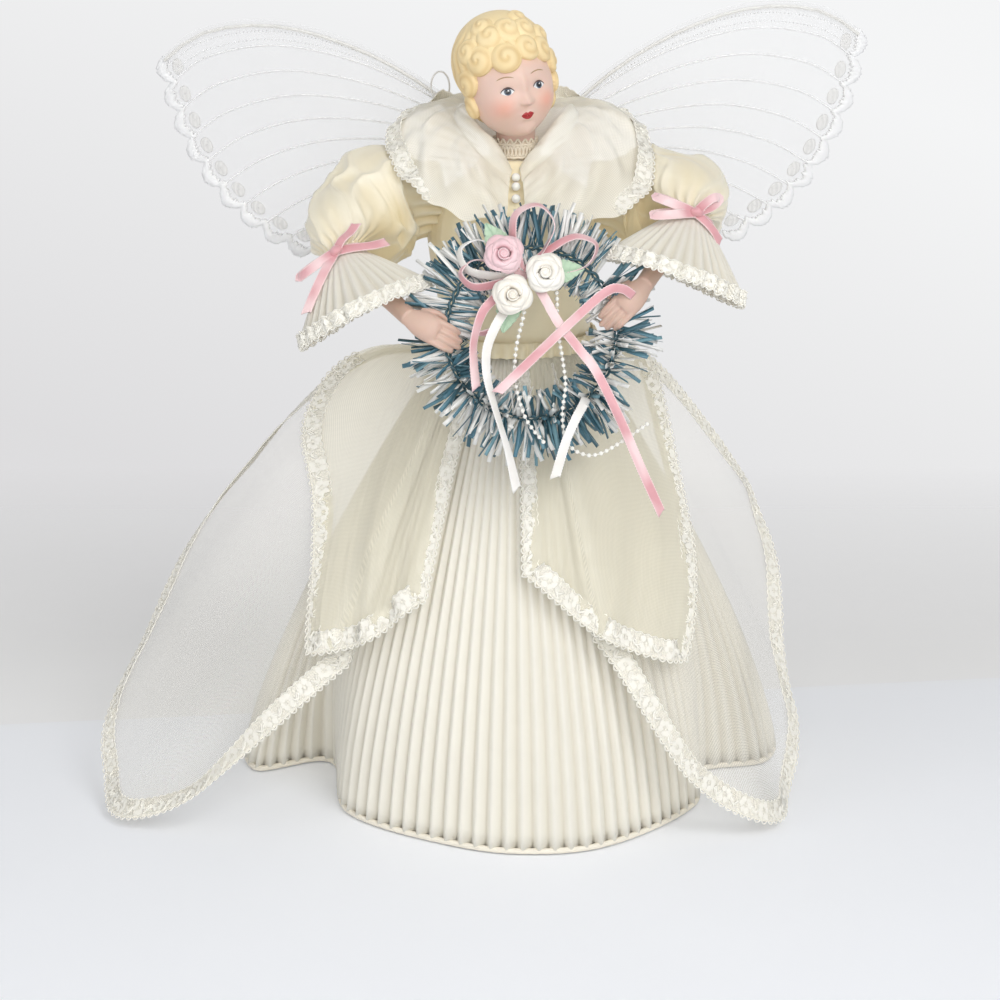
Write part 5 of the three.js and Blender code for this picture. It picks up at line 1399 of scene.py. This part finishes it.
def face_paint(name, colour, lift, shapes, roughness=0.35):
    """Painted shapes on the face: each is x across, and z at its lower and upper edge."""
    paint = mottled(name + "_paint", roughness, scaled(colour, 0.8), colour, 0.6)
    piece = Piece(name, paint)
    for x, low, high in shapes:
        x, low, high = np.broadcast_arrays(x, low, high)
        z = mix(low, high, np.linspace(0, 1, 9)[:, None])
        piece.slab(on_head(on_face(np.broadcast_to(x, z.shape), z, lift)), PAINT)
    piece.make("bisque")


def disc(x, z, radius):
    bulge = radius * np.sqrt(BULGE)
    return x + ACROSS * radius, z - bulge, z + bulge


def painted_face():
    eyes = (-EYE_X, EYE_X)
    whites = [(x + EYE_HALF * ACROSS, EYE_FOOT, EYE_TOP) for x in eyes]
    face_paint("eye_whites", (0.9, 0.91, 0.92), 0.03, whites)
    face_paint("irises", (0.07, 0.1, 0.15), 0.09, [disc(x + 0.1, EYE_Z + 0.15, 1.18) for x in eyes])
    face_paint("pupils", (0.012, 0.012, 0.016), 0.15, [disc(x + 0.1, EYE_Z + 0.2, 0.82) for x in eyes], 0.2)
    face_paint("eye_lights", (0.95, 0.95, 0.95), 0.2, [disc(x + 0.4, EYE_Z + 0.55, 0.25) for x in eyes], 0.2)
    lid = EYE_TOP + 0.4 - 0.2 * ACROSS ** 2
    lids = [(x + 1.08 * EYE_HALF * ACROSS, EYE_TOP - 0.15, lid) for x in eyes]
    face_paint("lid_lines", (0.1, 0.06, 0.05), 0.14, lids)
    arch, half = BROW_Z + 0.8 * BULGE, 0.2 * (1 - ACROSS ** 4)
    brows = [(side * (EYE_X + 0.1) + BROW_HALF * ACROSS, arch - half, arch + half) for side in (-1, 1)]
    face_paint("brow_lines", (0.47, 0.3, 0.15), 0.05, brows)
    bow = 1.15 * BULGE ** 0.8 - 0.45 * np.exp(-(ACROSS / 0.2) ** 2)
    lips = [(LIP_HALF * ACROSS, LIP_Z - 1.5 * BULGE ** 0.8, LIP_Z + bow)]
    face_paint("lips", (0.46, 0.025, 0.03), 0.05, lips, 0.5)


bisque_head()
painted_hair()
painted_face()


# Garland wreath

GARLAND_ARCS = 4
STRIPS_PER_ARC = 250
STRIP_WIDTH = 1.4
STRIP_THICK = 0.12
CORE_RADIUS = 1.6
# Strips that point inwards, and those that may point to the front, as shares of them all
INNER_SHARE, FRONT_SHARE = 0.42, 0.18
INNER_LENGTH, OUTER_LENGTH = (7.0, 10.5), (11.0, 15.5)
# Tilts towards the front, lower where the roses and leaves lie on the wreath
SPRAY_ARC = (math.radians(35), math.radians(200))
SPRAY_TILT, FREE_TILT, FRONT_TILT = (-0.6, 0.15), (-0.6, 0.75), (0.9, 2.2)
STRIP_SLANT, STRIP_BEND = 0.42, 0.1
HAND_ROOM = 3.6
CUFF_REACH = CUFF_LENGTH + 4
# White, dark and blue-green strips: the share up to which each is drawn, and its range of tint
STRIP_SHADES = [(0.5, 0.8, 1), (0.8, 0.05, 0.32), (1, 0.3, 0.52)]
# Two wires wound round each other
CORE_WIRE, CORE_WIND, CORE_OFFSET = 0.5, 26, 0.7
STRIP_FRONT = 5.6


def segment_distance(points, start, end):
    way = end - start
    share = np.clip((points - start) @ way / (way @ way), 0, 1)
    return np.linalg.norm(points - start - share[:, None] * way, axis=1), share


def hits_arm(points):
    """True if wreath-local points run through a hand, a forearm or a cuff."""
    for arm in ARMS.values():
        wrist, tie = to_wreath(arm["wrist"]), to_wreath(arm["tie"])
        tip = wrist + arm["fingers"] * HAND_LENGTH
        if segment_distance(points, wrist, tip)[0].min() < HAND_ROOM:
            return True
        hem = tie + (arm["cuff"] @ WREATH_AXES.T) * CUFF_REACH
        gap, share = segment_distance(points, tie, hem)
        if ((gap < cuff_radius(share * CUFF_REACH) + 0.4) & (share < 0.98)).any():
            return True
    return False


def garland_strip_points(draw, angle):
    """Points and width directions of one bent strip that springs from the core."""
    out = np.array([math.cos(angle), math.sin(angle), 0])
    run = np.array([-out[1], out[0], 0])
    front = np.array([0, 0, 1.0])
    kind = draw.random()
    inner = kind < INNER_SHARE
    covered = SPRAY_ARC[0] < angle < SPRAY_ARC[1]
    tilt = draw.uniform(*(SPRAY_TILT if covered else FREE_TILT))
    if kind > 1 - FRONT_SHARE and not covered:
        tilt = draw.uniform(*FRONT_TILT)
    way = (-out if inner else out) * math.cos(tilt) + front * math.sin(tilt)
    way = unit(way + run * draw.uniform(-STRIP_SLANT, STRIP_SLANT))
    length = draw.uniform(*(INNER_LENGTH if inner else OUTER_LENGTH))
    length = min(length, STRIP_FRONT / max(way[2], 0.05))
    bend = draw.uniform(-STRIP_BEND, STRIP_BEND, 3)
    share = np.linspace(0, 1, 5)[:, None]
    spine = out * WREATH_RADIUS + way * (CORE_RADIUS * 0.5 + length * share) + bend * length * share ** 2
    spin = draw.uniform(0, math.pi)
    side = unit(np.cross(way, front + 0.01))
    side = side * math.cos(spin) + np.cross(way, side) * math.sin(spin)
    return spine, side


def garland_arc(index):
    draw = np.random.default_rng(300 + index)
    piece = Piece(f"garland_strips_{index + 1}", garland_strip)
    span = math.pi / 2
    for i in range(STRIPS_PER_ARC):
        angle = span * (index + (i + draw.uniform(0.1, 0.9)) / STRIPS_PER_ARC)
        spine, side = garland_strip_points(draw, angle)
        kind = draw.random()
        shade = draw.uniform(*next(tints for share, *tints in STRIP_SHADES if kind < share))
        if hits_arm(spine):
            continue
        width = STRIP_WIDTH * draw.uniform(0.85, 1.15) * np.array([0.8, 1, 1, 1, 0.95])
        half = side * (width / 2)[:, None]
        grid = np.stack([spine - half, spine + half], 1)
        piece.slab(on_wreath(grid), STRIP_THICK, tint=shade)
    turn = np.linspace(span * index + 0.005, span * (index + 1) - 0.005, 60)
    for phase in (0, math.pi):
        wind = CORE_WIND * turn + phase
        reach = WREATH_RADIUS + CORE_OFFSET * np.cos(wind)
        core = stacked(reach * np.cos(turn), reach * np.sin(turn), CORE_OFFSET * np.sin(wind))
        piece.tube(on_wreath(core), CORE_WIRE, 6, tint=0.05)
    piece.make("needles", [f"garland_arc_{index + 1}"])


for arc_index in range(GARLAND_ARCS):
    garland_arc(arc_index)


# Ribbon roses, leaves and bow on the wreath

ROSES = {"pink_rose": (-9.3, 26), "ivory_rose_upper": (4.6, 19.6), "ivory_rose_lower": (-6.4, 12.2)}
ROSE_RADIUS, ROSE_BACK, ROSE_DEPTH = 6.5, 7.8, 7.0
LEAF_FRONT = 6.7
ROSE_RIBBON = 0.36
HEART_TURNS = 1.7
HEART_RADIUS = 1.9
# Rings of petals: count, radius, span in degrees, height and lean
PETAL_RINGS = [(3, 2.3, 160, 6.7, 0.7), (3, 3.0, 160, 6.2, 1.1), (4, 3.7, 124, 5.2, 1.5)]


def ribbon_rose(name, seed):
    """Folded ribbon: a wound heart, rings of lapped petals with rolled edges, and a stitched base."""
    x, y = ROSES[name]
    pink = name.startswith("pink")
    draw = np.random.default_rng(seed)
    piece = Piece(name + "_petals", rose_pink if pink else rose_ivory)

    def fold(turn, radius, height):
        grid = stacked(x + radius * np.cos(turn), y + radius * np.sin(turn), ROSE_BACK + height)
        piece.slab(on_wreath(grid), ROSE_RIBBON, tint=0.1 + 0.55 * across ** 5)

    across = np.linspace(0, 1, 11)[None]
    roll = np.clip((across - 0.72) / 0.28, 0, 1) ** 1.5
    share = np.linspace(0, 1, 90)[:, None]
    fold(draw.uniform(0, TAU) + TAU * HEART_TURNS * share, mix(0.35, HEART_RADIUS, share) + 0.35 * roll,
         across * (ROSE_DEPTH - 0.6 * share) - 0.3 * roll)
    piece.bead(on_wreath([x, y, ROSE_BACK + ROSE_DEPTH - 2.4]), 1.9, 14, 9)
    for count, radius, span, height, lean in PETAL_RINGS:
        first = draw.uniform(0, TAU)
        for k in range(count):
            part = np.linspace(-1, 1, 34)[:, None]
            turn = first + TAU * k / count + math.radians(span) / 2 * part + draw.uniform(-0.12, 0.12)
            point = 1 - np.abs(part)
            lap = 0.45 * part
            reach = radius * mix(0.8, 1, across) + lap + lean * across ** 2 + roll * (0.25 + 1.9 * point)
            rise = across * height * (0.8 + 0.2 * point) - roll * (0.4 + 1.9 * point)
            fold(turn, np.minimum(reach, ROSE_RADIUS + 0.5), rise + draw.uniform(-0.2, 0.2))
    spots = np.array([[x, y, z] for z in np.linspace(LEAF_FRONT + 0.3, ROSE_BACK + 2, 6)])
    piece.tube(on_wreath(spots), [2, 2.6, 4.2, 4.6, 4.2, 3], 20)
    piece.make("pink_ribbon" if pink else "ivory_ribbon", [name])


for rose_seed, rose_name in enumerate(ROSES):
    ribbon_rose(rose_name, 400 + rose_seed)

LEAVES = {"leaf_top": (-7.5, 24, 122), "leaf_right": (3, 19.5, 8), "leaf_low": (-6, 14.5, 256)}
LEAF_LENGTH, LEAF_WIDTH = 15.0, 8.5
LEAF_TEETH = 9
LEAF_THICK = 0.35


def fabric_leaf(name, seed):
    """Stamped fabric leaf with a toothed edge, folded along its middle vein."""
    x, y, degrees = LEAVES[name]
    share = np.linspace(0, 1, 73)[:, None]
    across = np.linspace(-1, 1, 15)[None]
    shape = 1.02 * np.sin(np.pi * share ** 0.75) ** 0.85
    tooth = 1 - 0.16 * ((share * LEAF_TEETH) % 1) * (np.abs(across) > 0.99)
    half = LEAF_WIDTH / 2 * shape * tooth + 0.15
    turn = math.radians(degrees)
    out, side = np.array([math.cos(turn), math.sin(turn), 0]), np.array([-math.sin(turn), math.cos(turn), 0])
    rib = np.exp(-((across * half) / 0.35) ** 2)
    twig = np.exp(-(((share * 7 - np.abs(across) * 0.9) % 1 - 0.5) / 0.1) ** 2) * (np.abs(across) > 0.08)
    rise = 0.9 * (across * shape) ** 2 - 0.35 * rib + 0.5 * wiggle(5 * share + across, seed) * np.abs(across)
    grid = (np.array([x, y, LEAF_FRONT - 0.9]) + out * (LEAF_LENGTH * share)[..., None]
            + side * (across * half)[..., None] + np.array([0, 0, 1]) * (rise - 0.9 * share ** 2)[..., None])
    piece = Piece(name + "_fabric", mint_leaf)
    piece.slab(on_wreath(grid), LEAF_THICK, tint=np.clip(0.8 * rib + 0.45 * twig, 0, 1))
    piece.make("mint_leaf", [name])


for leaf_seed, leaf_name in enumerate(LEAVES):
    fabric_leaf(leaf_name, 420 + leaf_seed)

BOW_MIDDLE = np.array([-3.5, 19.5, 4.0])
# Loops of the bow: tip x, tip y, width and ribbon
BOW_LOOPS = [(2.5, 43, 14, "pink"), (22, 29.5, 11, "pink"), (-24, 28, 11, "ivory"), (-24, 20, 9, "pink"),
             (-18, 0, 8, "pink")]
LOOP_PATH = [(0, 0.12), (0.45, 0.8), (0.8, 0.95), (1, 0), (0.8, -0.95), (0.45, -0.8), (0, -0.12)]
LOOP_TWIST = (55, 35, 50, 80, 105, 120)
BOW_TIE_ANGLE = math.radians(100)
BOW_TIE_RADIUS = 2.3
BOW_KNOT = 2.4


def wreath_bow():
    pieces = {"pink": Piece("wreath_bow_pink", pink_satin), "ivory": Piece("wreath_bow_ivory", ivory_satin)}
    for x, y, width, kind in BOW_LOOPS:
        reach = np.array([x, y, BOW_MIDDLE[2]]) - BOW_MIDDLE
        side = unit(np.array([-reach[1], reach[0], 0])) * width / 2
        spots = [BOW_MIDDLE + reach * share + side * offset for share, offset in LOOP_PATH]
        ribbon(pieces[kind], on_wreath(spots), WREATH_FRONT, twist=LOOP_TWIST)
    turn = np.linspace(0, TAU, 31)
    tie_out = np.array([math.cos(BOW_TIE_ANGLE), math.sin(BOW_TIE_ANGLE), 0])
    ring = [tie_out * (WREATH_RADIUS + BOW_TIE_RADIUS * math.cos(t))
            + np.array([0, 0, BOW_TIE_RADIUS * math.sin(t)]) for t in turn]
    ribbon(pieces["pink"], on_wreath(ring), np.cross(tie_out, [0, 0, 1]) @ WREATH_AXES, twist=(90, 90))
    start = tie_out * WREATH_RADIUS
    halfway = mix(start, BOW_MIDDLE, 0.5) * np.array([1, 1, 0])
    strap = [start + np.array([0, 0, 2.4]), halfway + np.array([0, 0, 3.8]), BOW_MIDDLE]
    ribbon(pieces["pink"], on_wreath(strap), WREATH_FRONT)
    half = np.array([2.2, -0.8, 0])
    ribbon_knot(pieces["pink"], on_wreath([BOW_MIDDLE - half, BOW_MIDDLE, BOW_MIDDLE + half]), BOW_KNOT, 0.7)
    for kind, piece in pieces.items():
        piece.make(f"{kind}_ribbon", ["wreath_bow"])


wreath_bow()


# Wings: sheer cloth on a wire, with corded veins and a satin-stitched scalloped edge

WING_HINGE = np.array([9, 33, 225.0])
WING_SWEEP = 12
WING_LIFT = {"left": -1, "right": 3.5}
WING_FRONT = [(0, 6), (22, 26), (51.7, 42), (84.4, 50), (112.1, 46.5), (126, 37)]
WING_LOW, OUTER_PULL, LOWER_PULL, WING_FOOT = (70.6, -37), (117.2, -20.4), (35.3, -16.7), (0, -8)
SCALLOPS = 9
SCALLOP_BULGE = 4.0
SCALLOP_STEPS = 18
WING_CLOTH_Y = 1.2
WING_ROWS = 60
STITCH_WIDTH, STITCH_THICK = 4.8, 0.5
STITCHES = 26
VEIN_RADIUS, VEIN_STEPS = 0.34, 150
# Rows of beads beside the front edge
BEAD_ROWS, BEADS_IN_ROW, EDGE_BEAD = (0.05, 0.085), 88, 0.3
SPOT_HALF_WIDTH, SPOT_HALF_LENGTH, SPOT_THICK = 2.2, 3.2, 0.12


def pulled(start, pull, end, share):
    """Curve from start to end, drawn towards pull."""
    t = np.asarray(share)[..., None]
    return (1 - t) ** 2 * np.array(start) + 2 * t * (1 - t) * np.array(pull) + t ** 2 * np.array(end)


OUTER_SWEEP = even(pulled(WING_FRONT[-1], OUTER_PULL, WING_LOW, np.linspace(0, 1, 300)), 300)


def wing_outer(t):
    """Outer edge and its outward direction, from the tip down."""
    mark = np.linspace(0, 1, len(OUTER_SWEEP))
    spot = np.stack([np.interp(t, mark, OUTER_SWEEP[:, k]) for k in range(2)], -1)
    way = np.stack([np.interp(t, mark, tangents(OUTER_SWEEP)[:, k]) for k in range(2)], -1)
    return spot, unit(np.stack([-way[..., 1], way[..., 0]], -1))


def scallop(t):
    """How far the scalloped edge bulges out."""
    phase = (SCALLOPS * t) % 1
    return SCALLOP_BULGE * 4 * phase * (1 - phase)


def wing_plane(s, t):
    """Points of the flat wing: s from the root out, t from the front edge to the lower edge."""
    s, t = np.broadcast_arrays(np.asarray(s, float), np.asarray(t, float))
    front, lower = along(WING_FRONT, s), pulled(WING_FOOT, LOWER_PULL, WING_LOW, s)
    root = mix(np.array(WING_FRONT[0]), np.array(WING_FOOT), t[..., None])
    edge, outward = wing_outer(t)
    bulge = scallop(t) * ramp(0.9, 1, s)
    s, t = s[..., None], t[..., None]
    corners = mix(mix(np.array(WING_FRONT[0]), np.array(WING_FRONT[-1]), s),
                  mix(np.array(WING_FOOT), np.array(WING_LOW), s), t)
    flat = mix(front, lower, t) + mix(root, edge, s) - corners
    return flat + outward * bulge[..., None]


def wing_placer(name, side):
    """Function that hangs points of the flat wing on its hinge, and the way that the wing's front faces."""
    turn = np.array(Matrix.Rotation(math.radians(side * WING_SWEEP), 3, "Z")
                    @ Matrix.Rotation(math.radians(-side * WING_LIFT[name]), 3, "Y"))
    hinge = WING_HINGE * np.array([side, 1, 1])

    def place(flat, y):
        return hinge + stacked(side * flat[..., 0], y, flat[..., 1]) @ turn.T

    return place, np.array([0, -1.0, 0]) @ turn.T


def wing_veins(name, place):
    piece = Piece(f"{name}_wing_veins", white_thread)
    for k in range(1, SCALLOPS):
        line = even(wing_plane(np.linspace(0.06, 0.985, 120), k / SCALLOPS), VEIN_STEPS)
        beaded = VEIN_RADIUS * (0.75 + 0.45 * np.abs(np.sin(np.arange(VEIN_STEPS) * 1.15)))
        piece.tube(place(line, WING_CLOTH_Y - 0.35), beaded, 6)
    for row in BEAD_ROWS:
        line = even(wing_plane(np.linspace(0.1, 0.97, 160), row), BEADS_IN_ROW)
        for spot in place(line, WING_CLOTH_Y - 0.3):
            piece.bead(spot, EDGE_BEAD, 6, 5)
    return piece.make("lace", body=f"{name}_wing")


def wing_stitching(name, place, normal, seed):
    """Uneven satin stitches along the scalloped edge."""
    piece = Piece(f"{name}_wing_stitching", white_thread)
    fine = np.linspace(0, 1, SCALLOPS * STITCHES + 1)
    across = np.linspace(0, 1, 7)[None]
    edge, outward = wing_outer(fine)
    phase = (SCALLOPS * fine) % 1
    draw = np.random.default_rng(seed)
    width = STITCH_WIDTH * (0.7 + 0.3 * np.sin(np.pi * phase)) * draw.uniform(0.75, 1.1, len(fine))
    bulge = scallop(fine) + draw.uniform(-0.4, 0.4, len(fine))
    flat = edge[:, None] + outward[:, None] * (bulge[:, None] + 0.5 - width[:, None] * across)[..., None]
    # Every second stitch stands higher and is a little greyer: painted shade that parts them.
    raised = (np.arange(len(fine)) % 2)[:, None]
    ridge = 0.35 * raised + 0.5 * np.sin(np.pi * across)
    band = place(flat, WING_CLOTH_Y - 0.3 - ridge)
    piece.slab(band, STITCH_THICK, np.broadcast_to(normal, band.shape), 0.25 * raised)
    return piece.make("lace", body=f"{name}_wing")


def wing_spots(name, place, normal):
    """Oval spots of denser cloth, one in each scallop."""
    piece = Piece(f"{name}_wing_spots", spot_cloth)
    spin = steps_round(TAU, 24)[None]
    reach = np.linspace(0.01, 1, 6)[:, None]
    for k in range(SCALLOPS):
        (centre,), (out,) = wing_outer(np.array([(k + 0.5) / SCALLOPS]))
        centre = centre + out * (SCALLOP_BULGE - STITCH_WIDTH - 3.2)
        along_edge = np.array([-out[1], out[0]])
        flat = (centre + out * (SPOT_HALF_WIDTH * reach * np.cos(spin))[..., None]
                + along_edge * (SPOT_HALF_LENGTH * reach * np.sin(spin))[..., None])
        top = place(flat, WING_CLOTH_Y - 0.25 - 0.15 * (1 - reach ** 2))
        piece.grid(np.concatenate([top, top[::-1] - normal * SPOT_THICK]), wrap=True, wrap_rows=True)
    return piece.make("organza", body=f"{name}_wing")


def wing(name, side, seed):
    body = f"{name}_wing"
    place, normal = wing_placer(name, side)
    t = np.linspace(0, 1, SCALLOPS * SCALLOP_STEPS + 1)[None]
    s = np.linspace(0, 1, WING_ROWS)[:, None]
    ripple = 0.35 * wiggle(9 * s + 5 * t, seed) * np.sin(np.pi * s)
    grid = place(wing_plane(s, t), WING_CLOTH_Y + ripple)
    cloth = Piece(f"{name}_wing_organza", wing_organza)
    cloth.grid(grid, tint=np.broadcast_to(0.25 * s ** 30, grid.shape[:2]))
    made = cloth.make("organza", [body], body)
    veins = wing_veins(name, place)
    stitching = wing_stitching(name, place, normal, seed)
    spots = wing_spots(name, place, normal)
    declare_sheet(grid)


wing("left", -1, 501)
wing("right", 1, 511)


# Bent wire end that stands up behind the collar

WIRE_LOOP = dict(centre=(-27.5, 25, 251.5), wide=3.4, high=5.5, radius=0.35,
                 stem=[(-10, 30.5, 222), (-18, 30, 232), (-24, 28, 241)])


def wire_loop():
    centre = np.array(WIRE_LOOP["centre"])
    turn = np.linspace(-math.pi / 2, 1.4 * math.pi, 60)
    ring = centre + stacked(WIRE_LOOP["wide"] * np.cos(turn), 0, WIRE_LOOP["high"] * np.sin(turn))
    stem = route([*WIRE_LOOP["stem"], tuple(ring[0])], 30)
    piece = Piece("wire_loop", plain_finish("loop_wire", *WIRE_PAINT, 2, 0.4))
    piece.tube(np.vstack([stem[:-1], ring]), WIRE_LOOP["radius"], 8)
    piece.make("wire")


wire_loop()


# Pieces that keep their solids

KEPT_FINISHES = {
    "cone_form": plain_finish("grey_card", (0.66, 0.6, 0.5), (0.52, 0.46, 0.37), 3, 0.85),
    "neck_dowel": plain_finish("turned_wood", (0.68, 0.5, 0.31), (0.5, 0.34, 0.19), 2, 0.6),
    "wing_tape": plain_finish("back_tape", CREAM, (0.8, 0.73, 0.6), 3, 0.5),
}
for wire_side in ("left", "right"):
    steel = plain_finish(f"{wire_side}_arm_steel", *WIRE_GREY, 2, 0.35, 1.0, 0.03)
    paint = plain_finish(f"{wire_side}_wing_wire_paint", *WIRE_PAINT, 2, 0.5)
    KEPT_FINISHES[f"{wire_side}_arm_wire"] = steel
    KEPT_FINISHES[f"{wire_side}_wing_wire"] = paint
for node_name, finish in KEPT_FINISHES.items():
    for material_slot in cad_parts[node_name].material_slots:
        material_slot.material = finish.material


# Floor and light

FLOOR_DEPTH = -0.0004
# The two papers meet on a line behind the doll, turned a little; the far one fades into the wall behind it
PAPER_TURN = math.radians(7.5)
PAPER_LINE = 0.057
FADE_START, FADE_END = 0.13, 0.42
STAGE_REACH = 1.6
FLOOR_PAPER = ((0.9, 0.92, 0.965), (0.87, 0.89, 0.93))
FAR_PAPER = ((0.89, 0.89, 0.89), (0.85, 0.85, 0.85))
WALL_DARK, WALL_PALE = (0.73, 0.725, 0.735), (0.91, 0.915, 0.92)
PAPER_GLOW = 0.1
LAMP_TARGET = Vector((0, 0, 0.13))
# Lamps: name, place, size and power
LAMPS = [("key", (0.55, -0.85, 1.0), 0.6, 5.0), ("fill", (-0.9, -0.7, 0.6), 0.9, 2.1),
         ("front", (0.1, -0.95, 0.45), 0.5, 2.7)]
WORLD_LIGHT = 0.42
WALL_SLOPE = Vector((0.9, 0, 2.6))
WALL_START, WALL_END = -0.8, -0.15


def stage_paper(name, near, far, colour, dark, fades=False):
    run = Vector((math.cos(PAPER_TURN), math.sin(PAPER_TURN), 0)) * STAGE_REACH
    middle = [Vector((0, y, FLOOR_DEPTH)) for y in (near, far)]
    mesh = bpy.data.meshes.new(name)
    mesh.from_pydata([middle[0] - run, middle[0] + run, middle[1] + run, middle[1] - run], [], [[0, 1, 2, 3]])
    paper = Finish(name + "_paper", 0.9)
    paper.set("Base Color", paper.blend(paper.noise(60), dark, colour))
    paper.set("Emission Color", (1, 1, 1))
    paper.set("Emission Strength", paper.combine("MULTIPLY", paper.seen(), PAPER_GLOW))
    if fades:
        depth = paper.node("SeparateXYZ", "Y", Vector=paper.place())
        paper.set("Alpha", paper.node("MapRange", Value=depth, i1=FADE_START, i2=FADE_END, i3=1.0, i4=0.0))
    mesh.materials.append(paper.material)
    made = linked(name, mesh)


def add_lamps():
    for name, spot, size, power in LAMPS:
        data = bpy.data.lights.new(name, "AREA")
        data.size = size
        data.energy = power
        lamp = linked(name, data)
        lamp.location = spot
        lamp.rotation_euler = (LAMP_TARGET - Vector(spot)).to_track_quat("-Z", "Y").to_euler()


def add_world():
    """Even light on the doll; a pale wall behind it with painted light, brighter upwards and to the right."""
    world = bpy.data.worlds.new("studio")
    world.use_nodes = True
    scene.world = world
    tree = Nodes(world.node_tree)
    light = tree.nodes["Background"]
    tree.feed(light.inputs["Color"], (1, 1, 1))
    tree.feed(light.inputs["Strength"], WORLD_LIGHT)
    slope = tree.node("VectorMath", "Value", [("operation", "DOT_PRODUCT")],
                      i0=tree.node("TexCoord", "Generated"), i1=WALL_SLOPE)
    spread = tree.node("MapRange", i0=slope, i1=WALL_START, i2=WALL_END)
    wall = tree.node("Background", Color=tree.blend(spread, WALL_DARK, WALL_PALE))
    pick = tree.node("MixShader", i0=tree.seen(), i1=light.outputs[0], i2=wall)
    tree.feed(tree.nodes["World Output"].inputs["Surface"], pick)


stage_paper("floor", PAPER_LINE - STAGE_REACH, PAPER_LINE, *FLOOR_PAPER)
stage_paper("far_floor", PAPER_LINE, STAGE_REACH, *FAR_PAPER, fades=True)
add_lamps()
add_world()
